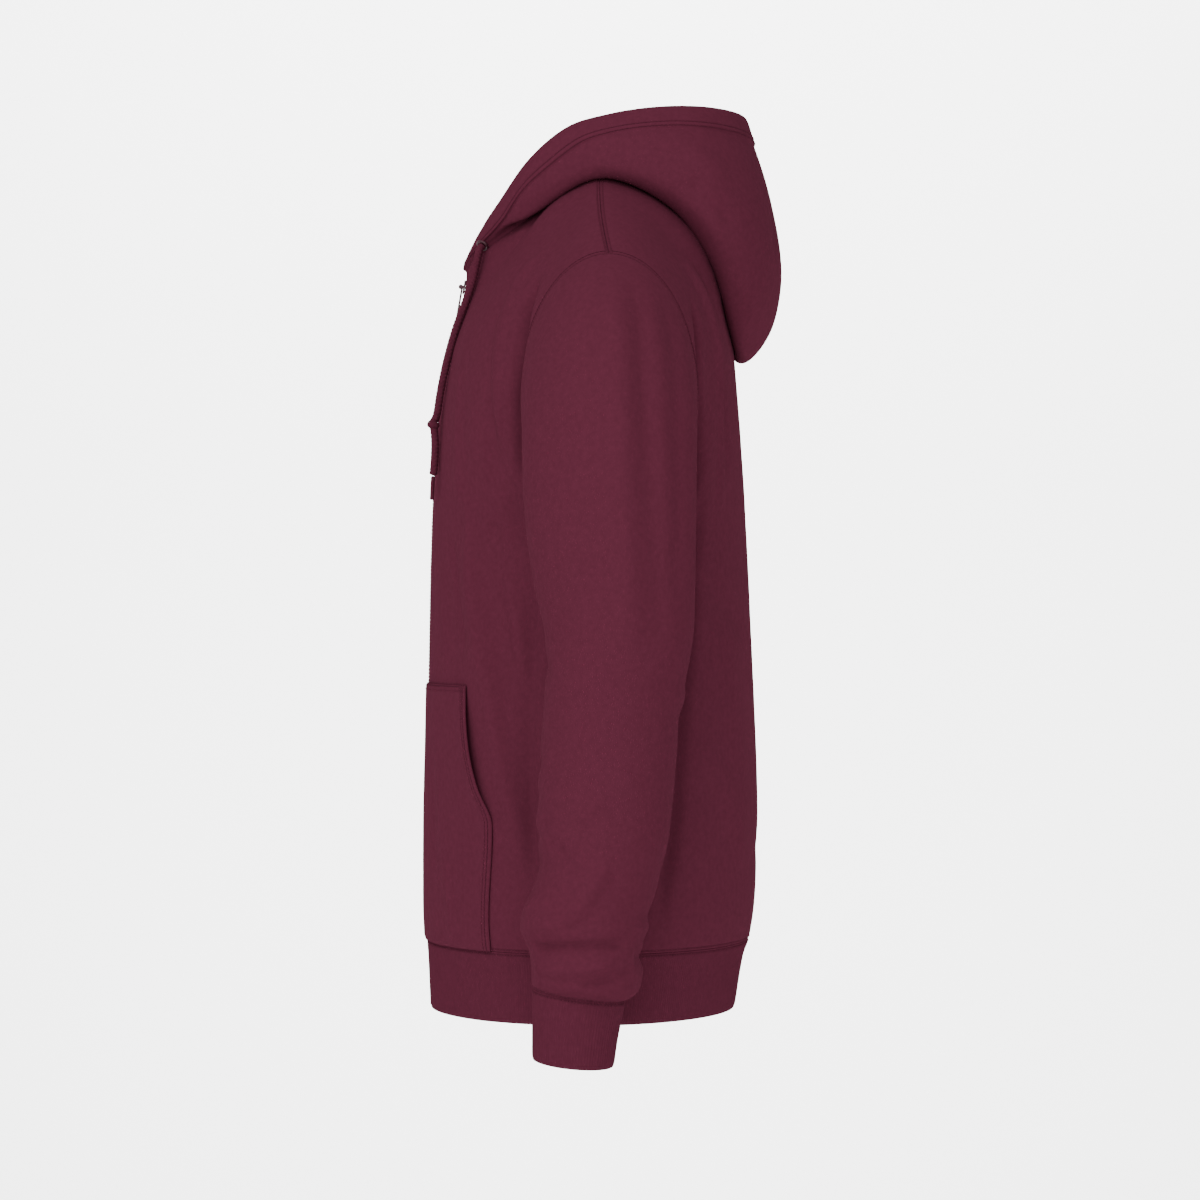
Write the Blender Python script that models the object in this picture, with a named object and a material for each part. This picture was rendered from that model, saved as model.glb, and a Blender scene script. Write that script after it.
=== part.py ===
"""A zip-up hooded sweatshirt, filled out as if worn, zipped to the neck, with its hood down on the back.

Metres, +Z up. The front faces -Y and the wearer's left is +X. The origin is the middle of the neck base,
level with the high points of the shoulders, where the wearer holds the garment up.

Every cloth piece is a closed wall round one shared middle surface, so that two pieces meet at a seam
with the same edge and the same direction across it, a seam gap apart.
"""

import itertools
import math
from collections import namedtuple

import bmesh
import bpy
from mathutils import Matrix, Vector

# Cloth
FLEECE = 0.0022
RIB = 0.0022
SEAM_GAP = 0.0003
MITER_LIMIT = 0.6

# Body: what the garment measures across and through at each height
Level = namedtuple("Level", "z front back side half_width")
BODY = (
    Level(0.030, -0.092, 0.080, 0.0075, 0.285),
    Level(-0.040, -0.1050, 0.0980, 0.0075, 0.280),
    Level(-0.085, -0.1166, 0.1075, 0.0075, 0.278),
    Level(-0.126, -0.1250, 0.1135, 0.0075, 0.274),
    Level(-0.206, -0.1395, 0.1205, 0.0075, 0.257),
    Level(-0.262, -0.1440, 0.1245, 0.0075, 0.236),
    Level(-0.3115, -0.1460, 0.1272, 0.0075, 0.2140),
    Level(-0.364, -0.1472, 0.1297, 0.0030, 0.2125),
    Level(-0.452, -0.1490, 0.1337, -0.0070, 0.2110),
    Level(-0.539, -0.1507, 0.1367, -0.0080, 0.2105),
    Level(-0.592, -0.1512, 0.1358, -0.0090, 0.2105),
    Level(-0.630, -0.1512, 0.1335, -0.0100, 0.2085),
    Level(-0.6585, -0.1500, 0.1290, -0.0105, 0.2045),
    Level(-0.672, -0.1490, 0.1243, -0.0110, 0.2020),
    Level(-0.718, -0.1472, 0.1166, -0.0140, 0.1985),
)
UNDERARM_Z = -0.3115
HEM_SEAM_Z = -0.6585
HEM_END_Z = -0.718
BODY_ROWS_Z = (-0.345, -0.376, -0.406, -0.436, -0.465, -0.4935, -0.522, -0.550, -0.586, -0.622, HEM_SEAM_Z)
HEM_ROWS_Z = (-0.672, -0.695, HEM_END_Z)
FRONT_EDGE_X = 0.006

# Neck and shoulder
NeckPoint = namedtuple("NeckPoint", "x y z")
NECK_FRONT = (
    NeckPoint(FRONT_EDGE_X, -0.1166, -0.0775),
    NeckPoint(0.034, -0.1065, -0.0665),
    NeckPoint(0.061, -0.0840, -0.0520),
    NeckPoint(0.079, -0.0460, -0.0275),
    NeckPoint(0.085, 0.0, 0.0),
)
NECK_BACK = (
    NeckPoint(0.0, 0.0680, -0.0145),
    NeckPoint(0.034, 0.0635, -0.0115),
    NeckPoint(0.062, 0.0500, -0.0050),
    NeckPoint(0.0795, 0.0280, 0.0010),
    NeckPoint(0.085, 0.0, 0.0),
)
SHOULDER_X = 0.235
SHOULDER_Z = -0.0785
SHOULDER_FALL = 1.35
Rounding = namedtuple("Rounding", "drop at_neck rise turn")
ROUND_FRONT = Rounding(0.150, 0.050, 1.6, 1.3)
ROUND_BACK = Rounding(0.145, 0.120, 2.0, 2.0)

# The grid of a body panel: columns from the middle to the side, rows from the shoulder to the hem
NECK_COLUMNS = 4
COLUMNS = 12
ARM_ROWS = 10
POCKET_COLUMN = 7
POCKET_TOP_ROW = 14
BODY_END_ROW = ARM_ROWS + len(BODY_ROWS_Z)

# Sleeve rings from the armhole to the cuff seam; the pitch is how much lower the back of a ring is
Ring = namedtuple("Ring", "inner_x inner_z outer_x outer_z front back pitch")
SLEEVE = (
    Ring(0.2140, -0.3115, 0.2350, -0.0785, -0.0645, 0.0795, 0.0),
    Ring(0.2215, -0.3140, 0.2615, -0.0985, -0.0640, 0.0790, 0.0),
    Ring(0.2275, -0.3190, 0.2850, -0.1230, -0.0630, 0.0785, 0.0),
    Ring(0.2310, -0.3270, 0.3050, -0.1520, -0.0625, 0.0780, 0.0),
    Ring(0.2325, -0.3370, 0.3215, -0.1865, -0.0620, 0.0775, 0.0),
    Ring(0.2330, -0.3500, 0.3345, -0.2260, -0.0605, 0.0770, 0.0),
    Ring(0.2330, -0.3670, 0.3430, -0.2700, -0.0575, 0.0765, 0.0),
    Ring(0.2325, -0.3890, 0.3475, -0.3180, -0.0520, 0.0760, 0.0),
    Ring(0.2315, -0.4150, 0.3485, -0.3660, -0.0440, 0.0745, 0.001),
    Ring(0.2305, -0.4430, 0.3475, -0.4060, -0.0435, 0.0690, 0.002),
    Ring(0.2300, -0.4690, 0.3460, -0.4400, -0.0450, 0.0630, 0.002),
    Ring(0.2300, -0.4940, 0.3445, -0.4710, -0.0470, 0.0615, 0.003),
    Ring(0.2305, -0.5180, 0.3435, -0.5000, -0.0465, 0.0595, 0.003),
    Ring(0.2315, -0.5420, 0.3425, -0.5280, -0.0495, 0.0568, 0.004),
    Ring(0.2325, -0.5640, 0.3415, -0.5540, -0.0505, 0.0538, 0.004),
    Ring(0.2345, -0.5840, 0.3405, -0.5770, -0.0478, 0.0480, 0.005),
    Ring(0.2360, -0.6030, 0.3400, -0.5980, -0.0535, 0.0430, 0.006),
    Ring(0.2375, -0.6200, 0.3395, -0.6170, -0.0615, 0.0365, 0.007),
    Ring(0.2390, -0.6350, 0.3385, -0.6340, -0.0635, 0.0345, 0.008),
    Ring(0.2410, -0.6490, 0.3365, -0.6500, -0.0575, 0.0335, 0.009),
    Ring(0.2430, -0.6620, 0.3335, -0.6645, -0.0548, 0.0335, 0.010),
    Ring(0.2460, -0.6740, 0.3290, -0.6775, -0.0545, 0.0300, 0.010),
    Ring(0.2550, -0.6820, 0.3190, -0.6855, -0.0540, 0.0195, 0.010),
)
CUFF = (
    SLEEVE[-1],
    Ring(0.2555, -0.6900, 0.3190, -0.6940, -0.0540, 0.0182, 0.009),
    Ring(0.2565, -0.7130, 0.3185, -0.7180, -0.0540, 0.0135, 0.007),
    Ring(0.2570, -0.7360, 0.3180, -0.7420, -0.0540, 0.0100, 0.006),
)
AROUND = 2 * ARM_ROWS

# Hood: columns run from the front neck point to the back neck point, each from the neck seam to the rim
Station = namedtuple("Station", "along floor low out rim")
HOOD = (
    Station(
        0.000, (0.0055, -0.1176, -0.0757), (0.0050, -0.1180, -0.0735),
        (0.0040, -0.1178, -0.0710), (0.0030, -0.1166, -0.0680),
    ),
    Station(
        0.125, (0.0360, -0.1078, -0.0620), (0.0400, -0.1068, -0.0585),
        (0.0425, -0.1045, -0.0520), (0.0400, -0.1015, -0.0431),
    ),
    Station(
        0.250, (0.0665, -0.0860, -0.0465), (0.0730, -0.0845, -0.0430),
        (0.0780, -0.0830, -0.0330), (0.0700, -0.0843, -0.0197),
    ),
    Station(
        0.375, (0.0870, -0.0530, -0.0270), (0.0960, -0.0600, -0.0355),
        (0.1040, -0.0590, -0.0140), (0.0950, -0.0599, 0.0122),
    ),
    Station(
        0.500, (0.1020, -0.0060, 0.0000), (0.1205, -0.0120, -0.0090),
        (0.1275, -0.0140, 0.0120), (0.1100, -0.0273, 0.0380),
    ),
    Station(
        0.600, (0.1050, 0.0220, -0.0005), (0.1300, 0.0230, -0.0110),
        (0.1370, 0.0200, 0.0140), (0.1135, 0.0080, 0.0485),
    ),
    Station(
        0.700, (0.1040, 0.0520, -0.0130), (0.1350, 0.0630, -0.0400),
        (0.1425, 0.0640, -0.0020), (0.1120, 0.0450, 0.0545),
    ),
    Station(
        0.800, (0.0920, 0.0830, -0.0410), (0.1290, 0.0945, -0.0850),
        (0.1380, 0.1030, -0.0300), (0.0980, 0.0845, 0.0567),
    ),
    Station(
        0.900, (0.0580, 0.1030, -0.0620), (0.0880, 0.1190, -0.1325),
        (0.0950, 0.1425, -0.0660), (0.0600, 0.1150, 0.0562),
    ),
    Station(
        1.000, (0.0000, 0.1100, -0.0720), (0.0000, 0.1260, -0.1500),
        (0.0000, 0.1580, -0.0800), (0.0000, 0.1270, 0.0550),
    ),
)
HOOD_COLUMNS = 4 * NECK_COLUMNS
HOOD_MARKS = (0, 0.10, 0.21, 0.32, 0.43, 0.51, 0.57, 0.615, 0.66, 0.70, 0.765, 0.85, 0.925, 1)
HOOD_STAND = 0.007
HOOD_LEAN = 0.003
CASING_WIDTH = 0.024
CASING_STEP = 0.002
CASING_RAISE = 0.0011
SHORT_COLUMN = 0.025
MEASURING_STEPS = 200

# The largest folds: each runs between two places of a panel, given by its turn round the body or sleeve
Fold = namedtuple("Fold", "face hand turn_a z_a turn_b z_b reach height")
FRONT, BACK, LEFT, RIGHT = -1, 1, 1, -1
BODY_FOLDS = (
    Fold(FRONT, LEFT, 48, -0.105, 55, -0.270, 0.017, 0.0050),
    Fold(FRONT, LEFT, 64, -0.170, 66, -0.330, 0.014, -0.0045),
    Fold(FRONT, LEFT, 36, -0.290, 61, -0.570, 0.020, 0.0050),
    Fold(FRONT, LEFT, 26, -0.330, 44, -0.430, 0.018, -0.0030),
    Fold(FRONT, LEFT, 52, -0.300, 70, -0.480, 0.017, -0.0035),
    Fold(FRONT, RIGHT, 50, -0.115, 56, -0.280, 0.017, 0.0045),
    Fold(FRONT, RIGHT, 65, -0.180, 66, -0.330, 0.014, -0.0045),
    Fold(FRONT, RIGHT, 33, -0.310, 57, -0.560, 0.021, 0.0045),
    Fold(FRONT, RIGHT, 50, -0.320, 68, -0.500, 0.017, -0.0035),
    Fold(BACK, LEFT, 52, -0.120, 57, -0.300, 0.019, 0.0045),
    Fold(BACK, LEFT, 70, -0.210, 66, -0.420, 0.017, -0.0040),
    Fold(BACK, LEFT, 34, -0.360, 26, -0.600, 0.026, 0.0035),
    Fold(BACK, RIGHT, 51, -0.130, 57, -0.290, 0.019, 0.0045),
    Fold(BACK, RIGHT, 69, -0.200, 67, -0.400, 0.017, -0.0040),
    Fold(BACK, RIGHT, 30, -0.400, 22, -0.620, 0.026, 0.0030),
)
SleeveFold = namedtuple("SleeveFold", "hand turn_a ring_a turn_b ring_b reach height")
SLEEVE_FOLDS = (
    SleeveFold(LEFT, 100, 17.4, 190, 15.2, 0.011, 0.0040),
    SleeveFold(LEFT, 95, 18.7, 215, 18.9, 0.009, -0.0035),
    SleeveFold(LEFT, 110, 19.9, 230, 19.9, 0.009, 0.0035),
    SleeveFold(LEFT, 205, 3.0, 200, 10.0, 0.018, -0.0030),
    SleeveFold(LEFT, 90, 13.2, 150, 14.4, 0.012, 0.0025),
    SleeveFold(RIGHT, 105, 17.0, 195, 15.6, 0.011, 0.0040),
    SleeveFold(RIGHT, 90, 18.5, 220, 18.8, 0.009, -0.0035),
    SleeveFold(RIGHT, 120, 19.8, 235, 20.0, 0.009, 0.0035),
    SleeveFold(RIGHT, 210, 3.4, 203, 9.0, 0.018, -0.0030),
    SleeveFold(RIGHT, 95, 12.8, 160, 14.0, 0.012, 0.0025),
)

# Pocket: its mouth runs from the top corner down to the side corner
PocketEdge = namedtuple("PocketEdge", "z x")
POCKET = (
    PocketEdge(-0.436, 0.1450),
    PocketEdge(-0.465, 0.1500),
    PocketEdge(-0.4935, 0.1560),
    PocketEdge(-0.522, 0.1640),
    PocketEdge(-0.550, 0.1740),
    PocketEdge(-0.6585, 0.1680),
)
PLAIN_EDGE_Z = -0.330
MOUTH_TOP_Z = -0.436
MOUTH_END_Z = -0.550
MOUTH_LIFT = 0.0045
MOUTH_REACH = 2.5

# Zip: offsets are measured outwards from the middle of the front's wall
CHAIN_HALF_WIDTH = 0.0030
CHAIN_FRONT = 0.0004
CHAIN_BACK = -0.0024
TAPE_EDGES_X = (0.0033, 0.0180)
TAPE_THICKNESS = 0.0008
TAPE_CLEARANCE = 0.0006
STOP_HEIGHT = 0.0115
STOP_HALF_WIDTH = 0.0052
SLIDER_Z = -0.0905
SLIDER_LENGTH = 0.0115
SLIDER_HALF_WIDTH = 0.0050
SLIDER_PLATE = 0.0013
POST_HALF_WIDTH = 0.0014
POST_HEIGHT = 0.0022
ROD_SIDES = 16
BAR_OFFSET = 0.0044
BAR_RADIUS = 0.00075
LUG_INNER_X = 0.0021
LUG_WIDTH = 0.0010
LUG_HALF_HEIGHT = 0.0013
EYE_HOLE = 0.00115
EYE_RADIUS = 0.0020
EYE_HALF_WIDTH = 0.0018
NECK_TOP_Z = -0.0014
NECK_END_Z = -0.0048
TAB_REST_SPAN = (0.011, -0.029)
TAB_LENGTH = 0.0385
TAB_HALF_WIDTH = 0.0037
TAB_SHOULDER_X = 0.0023
TAB_FACES_Y = (0.0004, 0.0019)
TAB_END_STEPS = 8

# Drawstring: its route down the chest on the left; the right one is its mirror
CORD_RADIUS = 0.0035
CORD_ROUTE = (
    (0.0560, -0.1070, -0.0745),
    (0.0585, -0.1090, -0.0850),
    (0.0610, -0.1125, -0.0975),
    (0.0635, -0.1175, -0.1120),
    (0.0655, -0.1240, -0.1300),
    (0.0665, -0.1292, -0.1480),
    (0.0672, -0.1338, -0.1670),
    (0.0678, -0.1375, -0.1860),
    (0.0683, -0.1404, -0.2043),
)
EYELET_PLACE = (0.170, 0.84)
EYELET_RADIUS = 0.0045
EYELET_WIRE = 0.0007
KNOT_CENTRE = (0.0698, -0.1432, -0.2115)
KNOT_SIZE = (0.0062, 0.0056, 0.0074)
TAIL_ROUTE = (
    (0.0702, -0.1424, -0.2196),
    (0.0708, -0.1419, -0.2290),
    (0.0712, -0.1421, -0.2400),
    (0.0713, -0.1427, -0.2500),
    (0.0710, -0.1436, -0.2570),
)
TIP_ROUTE = (
    (0.07095, -0.14365, -0.25735),
    (0.0706, -0.1440, -0.2640),
    (0.0703, -0.1444, -0.2710),
    (0.0700, -0.1448, -0.2780),
)
TIP_RADIUS = 0.0017
CORD_STEP = 0.0085
CORD_LEAVES_BY = 0.006
ROUTE_FINENESS = 20

# Finish: base colour, roughness and metallic value
FLEECE_FINISH = (0.118, 0.022, 0.040), 0.90, 0.0
RIB_FINISH = (0.108, 0.020, 0.038), 0.92, 0.0
CORD_FINISH = (0.105, 0.020, 0.036), 0.88, 0.0
TAPE_FINISH = (0.085, 0.016, 0.030), 0.85, 0.0
ZIP_FINISH = (0.070, 0.014, 0.026), 0.45, 0.0
METAL_FINISH = (0.110, 0.030, 0.045), 0.35, 0.6


# Curves through table rows


def curve(keys, values, at):
    """The value at a place on a smooth curve through the rows, whose keys rise."""
    last = len(keys) - 1
    i = min(max(sum(key <= at for key in keys) - 1, 0), last - 1)
    a, b = max(i - 1, 0), min(i + 2, last)
    span = keys[i + 1] - keys[i]
    t = (at - keys[i]) / span
    slope_0 = (values[i + 1] - values[a]) / (keys[i + 1] - keys[a]) * span
    slope_1 = (values[b] - values[i]) / (keys[b] - keys[i]) * span
    return (
        values[i] * (2 * t**3 - 3 * t**2 + 1)
        + slope_0 * (t**3 - 2 * t**2 + t)
        + values[i + 1] * (3 * t**2 - 2 * t**3)
        + slope_1 * (t**3 - t**2)
    )


def level(z):
    """The body's measures at a height."""
    keys = [-row.z for row in BODY]
    return Level(z, *(curve(keys, [row[i] for row in BODY], -z) for i in range(1, 5)))


def smoothstep(t):
    t = min(max(t, 0.0), 1.0)
    return t * t * (3 - 2 * t)


# Body panels


def pocket_turn(z):
    """The angle of the pocket's outer edge, which a column of the front follows."""
    plain = math.radians(90 * POCKET_COLUMN / COLUMNS)
    low = min(max(-z, -POCKET[0].z), -POCKET[-1].z)
    x = curve([-row.z for row in POCKET], [row.x for row in POCKET], low)
    edge = math.asin(min(x / level(min(z, POCKET[0].z)).half_width, 1))
    return plain + (edge - plain) * smoothstep((PLAIN_EDGE_Z - z) / (PLAIN_EDGE_Z - MOUTH_TOP_Z))


def column_turn(face, column, z):
    """The angle round the body of a column, from 0 at the middle to 90 degrees at the side."""
    start = math.asin(FRONT_EDGE_X / level(z).half_width) if face == FRONT else 0.0
    side = math.pi / 2
    edge = pocket_turn(z) if face == FRONT else side * POCKET_COLUMN / COLUMNS
    if column <= POCKET_COLUMN:
        return start + (edge - start) * column / POCKET_COLUMN
    return edge + (side - edge) * (column - POCKET_COLUMN) / (COLUMNS - POCKET_COLUMN)


def top_edge(face, column):
    """The neckline, then the shoulder seam."""
    if column <= NECK_COLUMNS:
        rows = NECK_FRONT if face == FRONT else NECK_BACK
        keys = range(NECK_COLUMNS + 1)
        return Vector([curve(keys, [row[i] for row in rows], column) for i in range(3)])
    along = (column - NECK_COLUMNS) / (COLUMNS - NECK_COLUMNS)
    neck = NECK_FRONT[-1]
    return Vector((neck.x + (SHOULDER_X - neck.x) * along, 0, SHOULDER_Z * along**SHOULDER_FALL))


def depth(face, x, z):
    """How far forward or back the body is at a place across it."""
    at = level(z)
    reach = at.front if face == FRONT else at.back
    return at.side + (reach - at.side) * math.sqrt(max(1 - (x / at.half_width) ** 2, 0))


def chest_point(face, column, row):
    """A point beside the armhole, before it is fitted to the armhole's edge."""
    top = top_edge(face, column)
    drop = (1 - math.cos(math.pi * row / ARM_ROWS)) / 2
    z = top.z + (UNDERARM_Z - top.z) * drop
    wide = level(UNDERARM_Z).half_width * math.sin(column_turn(face, column, UNDERARM_Z))
    x = top.x + (wide - top.x) * drop
    bend = ROUND_FRONT if face == FRONT else ROUND_BACK
    near_neck = min(column / NECK_COLUMNS, 1)
    round_drop = bend.at_neck + (bend.drop - bend.at_neck) * near_neck
    down = min(max((top.z - z) / round_drop, 0), 1)
    out = (1 - (1 - down) ** bend.rise) ** (1 / bend.turn)
    return Vector((x, top.y + (depth(face, x, z) - top.y) * out, z))


def armhole_y(face, row):
    ring = SLEEVE[0]
    middle = (ring.front + ring.back) / 2
    return middle + face * (ring.back - ring.front) / 2 * math.sin(math.pi * row / ARM_ROWS)


def body_z(row):
    heights = (UNDERARM_Z, *BODY_ROWS_Z, *HEM_ROWS_Z)
    i = min(int(row - ARM_ROWS), len(heights) - 2)
    return heights[i] + (heights[i + 1] - heights[i]) * (row - ARM_ROWS - i)


def body_point(face, column, row):
    """A point of the left half of the body's middle surface, without folds."""
    if row < ARM_ROWS:
        point = chest_point(face, column, row)
        near_arm = max((column - POCKET_COLUMN) / (COLUMNS - POCKET_COLUMN), 0) ** 2
        point.y += near_arm * (armhole_y(face, row) - chest_point(face, COLUMNS, row).y)
        return point
    z = body_z(row)
    x = level(z).half_width * math.sin(column_turn(face, column, z))
    return Vector((x, depth(face, x, z), z))


def mirrored(point, hand):
    return Vector((point.x * hand, point.y, point.z))


def body_grid(face, columns, rows):
    """Rows of points; a column below 0 is on the wearer's right."""
    grid = []
    for row in rows:
        grid.append([mirrored(body_point(face, abs(c), row), -1 if c < 0 else 1) for c in columns])
    return grid


def hem_grid():
    """The hem band runs round from one side of the zip to the other."""
    grid = []
    for row in range(BODY_END_ROW, BODY_END_ROW + len(HEM_ROWS_Z) + 1):
        front = [body_point(FRONT, c, row) for c in range(COLUMNS + 1)]
        half = front + [body_point(BACK, c, row) for c in range(COLUMNS - 1, -1, -1)]
        grid.append(half + [mirrored(point, -1) for point in reversed(half[:-1])])
    return grid


# Sleeve and cuff


def ring_point(ring, turn):
    """A point of a ring; the turn starts at the inner side and goes by the front to the outer side."""
    reach, rise = (ring.inner_x - ring.outer_x) / 2, (ring.inner_z - ring.outer_z) / 2
    half_depth = (ring.back - ring.front) / 2
    back = -math.sin(turn)
    return Vector(
        (
            (ring.inner_x + ring.outer_x) / 2 + reach * math.cos(turn),
            (ring.front + ring.back) / 2 + half_depth * back,
            (ring.inner_z + ring.outer_z) / 2 + rise * math.cos(turn) - ring.pitch / 2 * back,
        )
    )


def ring_at(rings, place):
    keys = range(len(rings))
    return Ring(*(curve(keys, [ring[i] for ring in rings], place) for i in range(len(Ring._fields))))


def ring_grid(rings, places, hand):
    turns = [2 * math.pi * i / AROUND for i in range(AROUND)]
    return [[mirrored(ring_point(ring_at(rings, place), turn), hand) for turn in turns] for place in places]


# Hood


def hood_rows():
    """The stations, with the mirror of the last one past the back so that the curve runs on across it."""
    before, last = HOOD[-2], HOOD[-1]
    other_side = [(-x, y, z) for x, y, z in before[1:]]
    return [*HOOD, Station(2 * last.along - before.along, *other_side)]


def neck_point(along):
    """A point of the neck seam, straight between the columns of the body panels."""
    place = along * 2 * NECK_COLUMNS
    i = min(int(place), 2 * NECK_COLUMNS - 1)
    ends = [
        top_edge(FRONT, k) if k <= NECK_COLUMNS else top_edge(BACK, 2 * NECK_COLUMNS - k)
        for k in (i, i + 1)
    ]
    return ends[0].lerp(ends[1], place - i)


def hood_column(along):
    """The points that a column of the hood runs through, from the neck seam to the rim."""
    rows = hood_rows()
    keys = [row.along for row in rows]
    floor, low, out, rim = (
        Vector([curve(keys, [row[k][i] for row in rows], along) for i in range(3)]) for k in range(1, 5)
    )
    neck = neck_point(along)
    away = low - neck
    share = min(away.length / SHORT_COLUMN, 1)
    level_away = Vector((away.x, away.y, 0)).normalized()
    stand = neck + share * (HOOD_LEAN * level_away + Vector((0, 0, HOOD_STAND)))
    if share < 1:
        stand = stand.lerp(neck.lerp(floor, 0.5), 1 - share)
    return [neck, stand, floor, low, out, rim]


def on_column(points, place):
    keys = range(len(points))
    return Vector([curve(keys, [point[i] for point in points], place) for i in range(3)])


def place_from_rim(points, distance):
    """The place on a column at a distance from its rim."""
    last = len(points) - 1
    gone, before = 0.0, points[-1]
    for i in range(MEASURING_STEPS + 1):
        place = last * (1 - i / MEASURING_STEPS)
        here = on_column(points, place)
        gone += (here - before).length
        if gone >= distance:
            return place
        before = here
    return 0.0


def hood_point(along, mark):
    """A point of the hood: the mark goes from 0 at the neck seam to 1 at the casing and 2 at the rim."""
    points = hood_column(along)
    fine = [on_column(points, i / 4) for i in range(4 * len(points) - 3)]
    length = sum((b - a).length for a, b in zip(fine, fine[1:]))
    casing = min(CASING_WIDTH, 0.8 * length)
    if mark <= 1:
        return on_column(points, place_from_rim(points, casing) * mark)
    return on_column(points, place_from_rim(points, casing * (2 - mark)))


def hood_grid(hand):
    step = CASING_STEP / CASING_WIDTH
    marks = [*HOOD_MARKS, 1 + step, 1.5, 2]
    grid = []
    for mark in marks:
        grid.append([mirrored(hood_point(i / HOOD_COLUMNS, mark), hand) for i in range(HOOD_COLUMNS + 1)])
    return grid


# Folds


def near_segment(point, a, b):
    """The distance from a segment, and how far along it the nearest place is."""
    way = b - a
    t = min(max((point - a).dot(way) / way.length_squared, 0), 1)
    return (point - a - t * way).length, t


def fold_height(point, folds):
    """How far the folds raise a point; each fades towards its ends."""
    total = 0.0
    for a, b, reach, height in folds:
        away, along = near_segment(point, a, b)
        total += height * math.exp(-((away / reach) ** 2)) * (1 - (2 * along - 1) ** 4)
    return total


def body_row(z):
    """The row of the body grid's side at a height."""
    rows = [i / 4 for i in range(4 * BODY_END_ROW + 1)]
    return min(rows, key=lambda row: abs(body_point(BACK, COLUMNS / 2, row).z - z))


def place_body_folds():
    placed = []
    for fold in BODY_FOLDS:
        ends = [
            mirrored(body_point(fold.face, COLUMNS * turn / 90, body_row(z)), fold.hand)
            for turn, z in ((fold.turn_a, fold.z_a), (fold.turn_b, fold.z_b))
        ]
        placed.append((*ends, fold.reach, fold.height))
    return placed


def place_sleeve_folds():
    placed = []
    for fold in SLEEVE_FOLDS:
        ends = [
            mirrored(ring_point(ring_at(SLEEVE, place), math.radians(turn)), fold.hand)
            for turn, place in ((fold.turn_a, fold.ring_a), (fold.turn_b, fold.ring_b))
        ]
        placed.append((*ends, fold.reach, fold.height))
    return placed


# Walls


class Panel:
    """A grid of points on the middle surface, with what its wall is made from."""

    def __init__(self, grid, closed=False, flip=False, folds=(), thickness=FLEECE):
        self.grid, self.closed, self.flip = grid, closed, flip
        self.folds, self.thickness = folds, thickness
        self.rows, self.columns = len(grid), len(grid[0])
        self.normals = [[None] * self.columns for _ in grid]

    def cells(self):
        for r in range(self.rows - 1):
            for c in range(self.columns if self.closed else self.columns - 1):
                yield r, c, (c + 1) % self.columns

    def own_normals(self):
        """The panel's own normal at each of its points."""
        sums = [[Vector() for _ in row] for row in self.grid]
        for r, c, d in self.cells():
            across = self.grid[r + 1][d] - self.grid[r][c]
            other = self.grid[r + 1][c] - self.grid[r][d]
            normal = across.cross(other)
            if normal.length < 1e-12:
                continue
            normal = -normal if self.flip else normal
            for i, j in ((r, c), (r, d), (r + 1, c), (r + 1, d)):
                sums[i][j] += normal.normalized() * normal.length**0.5
        return [[vector.normalized() for vector in row] for row in sums]


def key_of(point):
    return tuple(round(value, 6) for value in point)


def share_normals(panels):
    """Gives points that several panels share one normal, lengthened so that each wall keeps its thickness."""
    own = [panel.own_normals() for panel in panels]
    meeting = {}
    for panel, normals in zip(panels, own):
        for r, row in enumerate(panel.grid):
            for c, point in enumerate(row):
                meeting.setdefault(key_of(point), []).append(normals[r][c])
    for panel, normals in zip(panels, own):
        for r, row in enumerate(panel.grid):
            for c, point in enumerate(row):
                around = meeting[key_of(point)]
                shared = sum(around, Vector()).normalized()
                lean = sum(shared.dot(normal) for normal in around) / len(around)
                panel.normals[r][c] = shared / max(lean, MITER_LIMIT)


def even_out_neck(hood):
    """Every second point of the hood's neck edge lies between two points of the body's neckline."""
    edge = hood.normals[0]
    for c in range(1, hood.columns - 1, 2):
        edge[c] = (edge[c - 1] + edge[c + 1]) / 2


def raise_folds(panels):
    """Moves the points of each panel out or in by its folds; seams to another group stay."""
    groups = {}
    for panel in panels:
        for row in panel.grid:
            for point in row:
                groups.setdefault(key_of(point), set()).add(id(panel.folds))
    moved = []
    for panel in panels:
        grid = []
        for row, normals in zip(panel.grid, panel.normals):
            line = []
            for point, normal in zip(row, normals):
                held = len(groups[key_of(point)]) > 1
                line.append(point if held else point + normal * fold_height(point, panel.folds))
            grid.append(line)
        moved.append(grid)
    for panel, grid in zip(panels, moved):
        panel.grid = grid


def pull_back(panel, r, c):
    """How far a point on the panel's edge moves into the panel, to leave the seam gap."""
    point, normal = panel.grid[r][c], panel.normals[r][c].normalized()
    shift = Vector()
    columns = panel.columns
    if r in (0, panel.rows - 1):
        inner = panel.grid[1 if r == 0 else panel.rows - 2][c] - point
        left = (c - 1) % columns if panel.closed else max(c - 1, 0)
        right = (c + 1) % columns if panel.closed else min(c + 1, columns - 1)
        across = (panel.grid[r][right] - panel.grid[r][left]).cross(normal).normalized()
        shift += across * math.copysign(SEAM_GAP / 2, across.dot(inner))
    if not panel.closed and c in (0, columns - 1):
        inner = panel.grid[r][1 if c == 0 else columns - 2] - point
        up, down = max(r - 1, 0), min(r + 1, panel.rows - 1)
        across = (panel.grid[down][c] - panel.grid[up][c]).cross(normal).normalized()
        shift += across * math.copysign(SEAM_GAP / 2, across.dot(inner))
    return shift


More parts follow.
